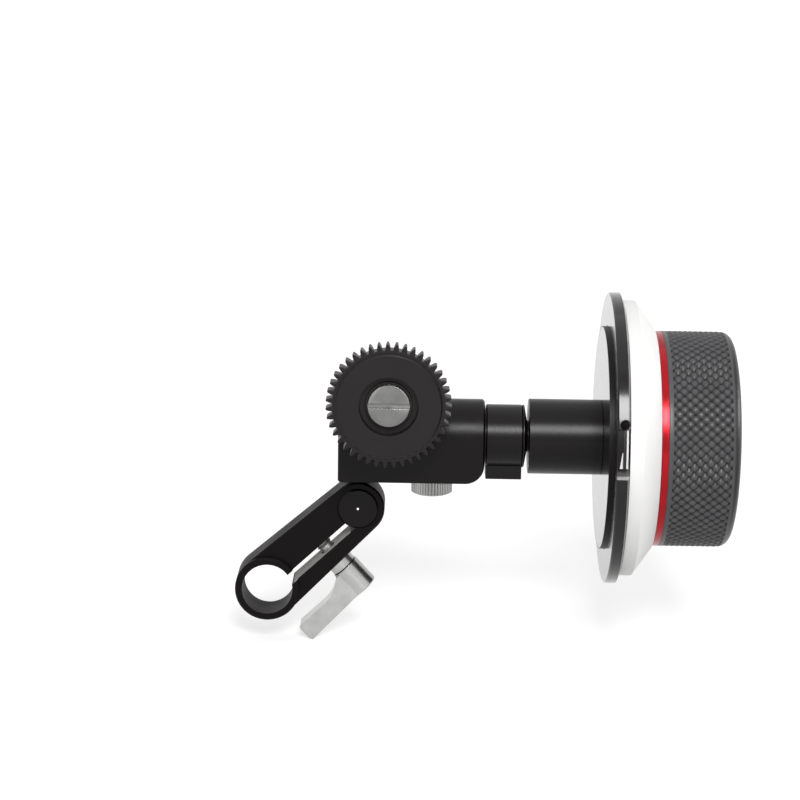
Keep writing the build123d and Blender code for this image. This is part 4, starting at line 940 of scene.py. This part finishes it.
# ---------------------------------------------------------------- wheel
class FOCUS_OT_disc(Operator):
    """Make the white marking disc"""

    bl_idname = "focus.disc"
    bl_label = "Marking disc"

    def execute(self, context):
        left, right = across("marking_disc", 0), across("marking_disc", 1)
        face, keeper = left - 0.45 * MM, across("keeper_ring", 1)
        radius = half_height("marking_disc")
        inside = radius - 1.7 * MM
        bore = context.scene.focus_wheel.radius + 0.3 * MM
        profile = [
            (face, inside), (face, radius), (left + 3.4 * MM, radius), (right, bore + 0.7 * MM),
            (right, bore), (keeper, bore), (keeper, inside),
        ]
        disc = turned_piece(
            "marking_disc_moulded", profile, WHEEL_PLACE, edge=0.16 * MM, closed=True, sides=180
        )
        dress(disc, "marking", "disc_white", replaces=["marking_disc"])
        return {"FINISHED"}


class FOCUS_OT_hub(Operator):
    """Finish the wheel's hub and make the red ring"""

    bl_idname = "focus.hub"
    bl_label = "Hub and red ring"

    def execute(self, context):
        dress_solids("wheel_hub")
        left, right = across("red_ring", 0), across("red_ring", 1)
        radius = half_height("red_ring")
        profile = [(left, WHEEL_SEAT), (left, radius), (right, radius), (right, WHEEL_SEAT)]
        ring = turned_piece("red_ring_turned", profile, WHEEL_PLACE, edge=0.12 * MM, closed=True, sides=180)
        dress(ring, "wheel", "red_anodised", replaces=["red_ring"])
        return {"FINISHED"}


def rounded_radius(s, from_end):
    """Radius of the wheel's rounded edge at a distance from its outer face."""
    return s.radius - s.rounding + sqrt(s.rounding**2 - (s.rounding - from_end) ** 2)


def knurl(made, s, start, end):
    """Adds a diamond knurl between two places along the axis: its grooves run deepest where they cross."""
    valley = s.radius - s.knurl_depth
    shallow = s.radius - s.knurl_ridge * s.knurl_depth
    columns = max(2, round(2 * (end - start) / s.knurl_length))
    half = (end - start) / columns
    step = pi / s.knurl_count
    wider = 1.15  # of the tops at the middles of their sides
    ways = [(-1, 0), (-0.5, -0.5), (0, -1), (0.5, -0.5), (1, 0), (0.5, 0.5), (0, 1), (-0.5, 0.5)]

    def at(along, turn, radius):
        return made.verts.new((radius * cos(turn), radius * sin(turn), along))

    for i in range(columns + 1):
        along = start + i * half
        peak = s.radius if i < columns else rounded_radius(s, s.end_band)
        shown = [way for way in ways if not (i == 0 and way[0] < 0 or i == columns and way[0] > 0)]
        if i == columns:
            shown = shown[-2:] + shown[:-2]
        whole = len(shown) == len(ways)
        for k in range(s.knurl_count):
            turn = (2 * k + i % 2) * step
            feet, tops = [], []
            for a, b in shown:
                foot = shallow if a and b else valley
                feet.append(at(along + a * half, turn + b * step, foot))
                reach = s.knurl_top * (wider if a and b else 1.0)
                tops.append(at(along + a * reach * half, turn + b * reach * step, peak))
            for j in range(len(shown) if whole else len(shown) - 1):
                m = (j + 1) % len(shown)
                made.faces.new((feet[j], feet[m], tops[m], tops[j]))
            made.faces.new(tops)


class FOCUS_OT_wheel(Operator):
    """Make the handwheel with its diamond knurl, and its end cap"""

    bl_idname = "focus.wheel"
    bl_label = "Handwheel"

    def execute(self, context):
        s = context.scene.focus_wheel
        left, right = across("handwheel", 0), across("handwheel", 1)
        start, end = left + s.band, right - s.end_band
        valley = s.radius - s.knurl_depth - 0.05 * MM
        web_left, web_right, web_bore = left + 4.6 * MM, left + 7.6 * MM, 8.2 * MM
        cavity = s.radius - 5.5 * MM
        made = bmesh.new()
        inner = [
            (start, valley), (start, s.radius), (left, s.radius), (left, WHEEL_SEAT), (web_left, WHEEL_SEAT),
            (web_left, web_bore), (web_right, web_bore), (web_right, cavity), (right, cavity),
        ]
        last = degrees(acos((s.rounding - s.end_band) / s.rounding))
        outer = arc((right - s.rounding, s.radius - s.rounding), s.rounding, 0, last, 9)[1:]
        outer.append((end, valley))
        inner.append((right, s.radius - s.rounding))
        turned(made, inner + outer, edge=0.12 * MM, sides=2 * s.knurl_count)
        knurl(made, s, start, end)
        wheel = mesh_object("handwheel_knurled", made, WHEEL_PLACE, 24.0, weighted=False)
        dress(wheel, "wheel", "wheel_knurl", replaces=["handwheel"])
        dress_solids("wheel_cap", "cap_screws")
        return {"FINISHED"}


# ---------------------------------------------------------------- stage
def lamp(name, position, target, width, height, power):
    """A large soft rectangular lamp that looks at the target."""
    light = bpy.data.lights.new(name, "AREA")
    light.shape, light.size, light.size_y, light.energy = "RECTANGLE", width, height, power
    holder = bpy.data.objects.new(name, light)
    bpy.context.scene.collection.objects.link(holder)
    holder.location = position
    holder.rotation_euler = (Vector(target) - Vector(position)).to_track_quat("-Z", "Y").to_euler()
    return holder


class FOCUS_OT_stage(Operator):
    """Make the floor, the light and the camera"""

    bl_idname = "focus.stage"
    bl_label = "Stage"

    def execute(self, context):
        s = context.scene.focus_stage
        self.camera(context, s)
        self.floor(context, s)
        self.light(context, s)
        context.scene.view_settings.view_transform = "Standard"
        return {"FINISHED"}

    def camera(self, context, s):
        eye = (0.043124, -0.669789, 0.200188)
        yaw, pitch, roll = radians(-0.38), radians(12.088), radians(0.85)
        ahead = Vector((sin(yaw) * cos(pitch), cos(yaw) * cos(pitch), -sin(pitch)))
        level = Vector((cos(yaw), -sin(yaw), 0))
        rise = level.cross(ahead)
        right = cos(roll) * level + sin(roll) * rise
        up = -sin(roll) * level + cos(roll) * rise
        lens = bpy.data.cameras.new("camera")
        lens.lens, lens.sensor_width = s.lens, 36.0
        holder = bpy.data.objects.new("camera", lens)
        context.scene.collection.objects.link(holder)
        turn = Matrix((right, up, -ahead)).transposed().to_4x4()
        holder.matrix_world = Matrix.Translation(eye) @ turn
        context.scene.camera = holder

    def floor(self, context, s):
        """A wide sheet of white paper that takes light and shadow, and shows white to the eye and metal."""
        reach, gap = 9, 0.0002
        near, far, far_glow = 0.15, 0.9, 0.9
        base = SOLIDS_BOX[0].z - gap
        made = bmesh.new()
        corners = ((-reach, -reach), (reach, -reach), (reach, reach), (-reach, reach))
        made.faces.new([made.verts.new((x, y, base)) for x, y in corners])
        floor = mesh_object("floor", made, Matrix.Identity(4), 80.0, weighted=False)
        finish, tree, shader = blank_finish("floor_paper")
        shader.inputs["Base Color"].default_value = (*context.scene.focus_colours.floor[:], 1)
        shader.inputs["Roughness"].default_value = 0.9
        place_on = object_place(tree, -1400, 0)
        paper = grain(tree, place_on, 900, 4, -1150, -250)
        tree.links.new(bump(tree, paper, 0.05, 0.02 * MM, -350, -250), shader.inputs["Normal"])
        away = node_at(tree, "ShaderNodeVectorMath", -350, -450, operation="LENGTH")
        tree.links.new(place_on, away.inputs[0])
        fade = mapped(
            tree, away.outputs["Value"], (near, far), (s.ground, far_glow), -100, -450,
            interpolation_type="SMOOTHSTEP",
        )
        glow = node_at(tree, "ShaderNodeEmission", 300, -250)
        tree.links.new(fade, glow.inputs["Strength"])
        white = node_at(tree, "ShaderNodeAddShader", 500, -150)
        tree.links.new(shader.outputs["BSDF"], white.inputs[0])
        tree.links.new(glow.outputs["Emission"], white.inputs[1])
        seen = node_at(tree, "ShaderNodeMixShader", 700, 0)
        tree.links.new(self.looked_at(tree), seen.inputs["Fac"])
        tree.links.new(shader.outputs["BSDF"], seen.inputs[1])
        tree.links.new(white.outputs["Shader"], seen.inputs[2])
        tree.links.new(seen.outputs["Shader"], tree.nodes["Material Output"].inputs["Surface"])
        floor.data.materials.append(finish)

    def looked_at(self, tree):
        """1 where the eye, a reflection or a clear material looks, 0 where the surface only gives light."""
        path = node_at(tree, "ShaderNodeLightPath", -200, 500).outputs
        first = combine(tree, "MAXIMUM", path["Is Camera Ray"], path["Is Glossy Ray"], 0, 450)
        return combine(tree, "MAXIMUM", first, path["Is Transmission Ray"], 200, 400)

    def light(self, context, s):
        world = bpy.data.worlds.new("studio")
        context.scene.world = world
        world.use_nodes = True
        tree = world.node_tree
        sky = tree.nodes["Background"]
        level = mapped(tree, self.looked_at(tree), (0.0, 1.0), (s.sky, 1.0), -200, 0)
        sky.inputs["Color"].default_value = (1, 1, 1, 1)
        tree.links.new(level, sky.inputs["Strength"])
        target = (0.06, 0.0, 0.045)
        lamp("key_lamp", (0.15, -0.88, 0.66), target, 0.31, 0.35, s.key)
        lamp("side_lamp", (1.0, 0.12, 0.24), target, 0.5, 0.18, s.side)
        lamp("top_lamp", (0.06, 0.05, 1.0), target, 1.3, 1.1, s.top)


# ---------------------------------------------------------------- add-on
OPERATORS = (
    FOCUS_OT_stage, FOCUS_OT_link, FOCUS_OT_post, FOCUS_OT_lever, FOCUS_OT_gearbox, FOCUS_OT_works,
    FOCUS_OT_collar, FOCUS_OT_tube, FOCUS_OT_friction, FOCUS_OT_gear, FOCUS_OT_flange, FOCUS_OT_disc,
    FOCUS_OT_hub, FOCUS_OT_wheel,
)
GROUPS = {
    "focus_colours": FocusColours,
    "focus_gear": GearSizes,
    "focus_wheel": WheelSizes,
    "focus_stage": StageSizes,
}


class FOCUS_PT_panel(Panel):
    """Sizes, colours and makers of the follow focus unit"""

    bl_idname = "FOCUS_PT_panel"
    bl_label = "Follow focus"
    bl_space_type = "VIEW_3D"
    bl_region_type = "UI"
    bl_category = "Follow focus"

    def draw(self, context):
        for attribute, group in GROUPS.items():
            box = self.layout.box()
            box.label(text=attribute.replace("focus_", "").capitalize())
            for key in group.__annotations__:
                box.prop(getattr(context.scene, attribute), key)
        for maker in OPERATORS:
            self.layout.operator(maker.bl_idname)


def register():
    for made in (*GROUPS.values(), *OPERATORS, FOCUS_PT_panel):
        bpy.utils.register_class(made)
    for attribute, group in GROUPS.items():
        setattr(bpy.types.Scene, attribute, PointerProperty(type=group))


def unregister():
    for attribute in GROUPS:
        delattr(bpy.types.Scene, attribute)
    for made in (FOCUS_PT_panel, *reversed(OPERATORS), *reversed(tuple(GROUPS.values()))):
        bpy.utils.unregister_class(made)


def main():
    register()
    for maker in OPERATORS:
        group, name = maker.bl_idname.split(".")
        getattr(getattr(bpy.ops, group), name)()


if __name__ == "__main__":
    main()
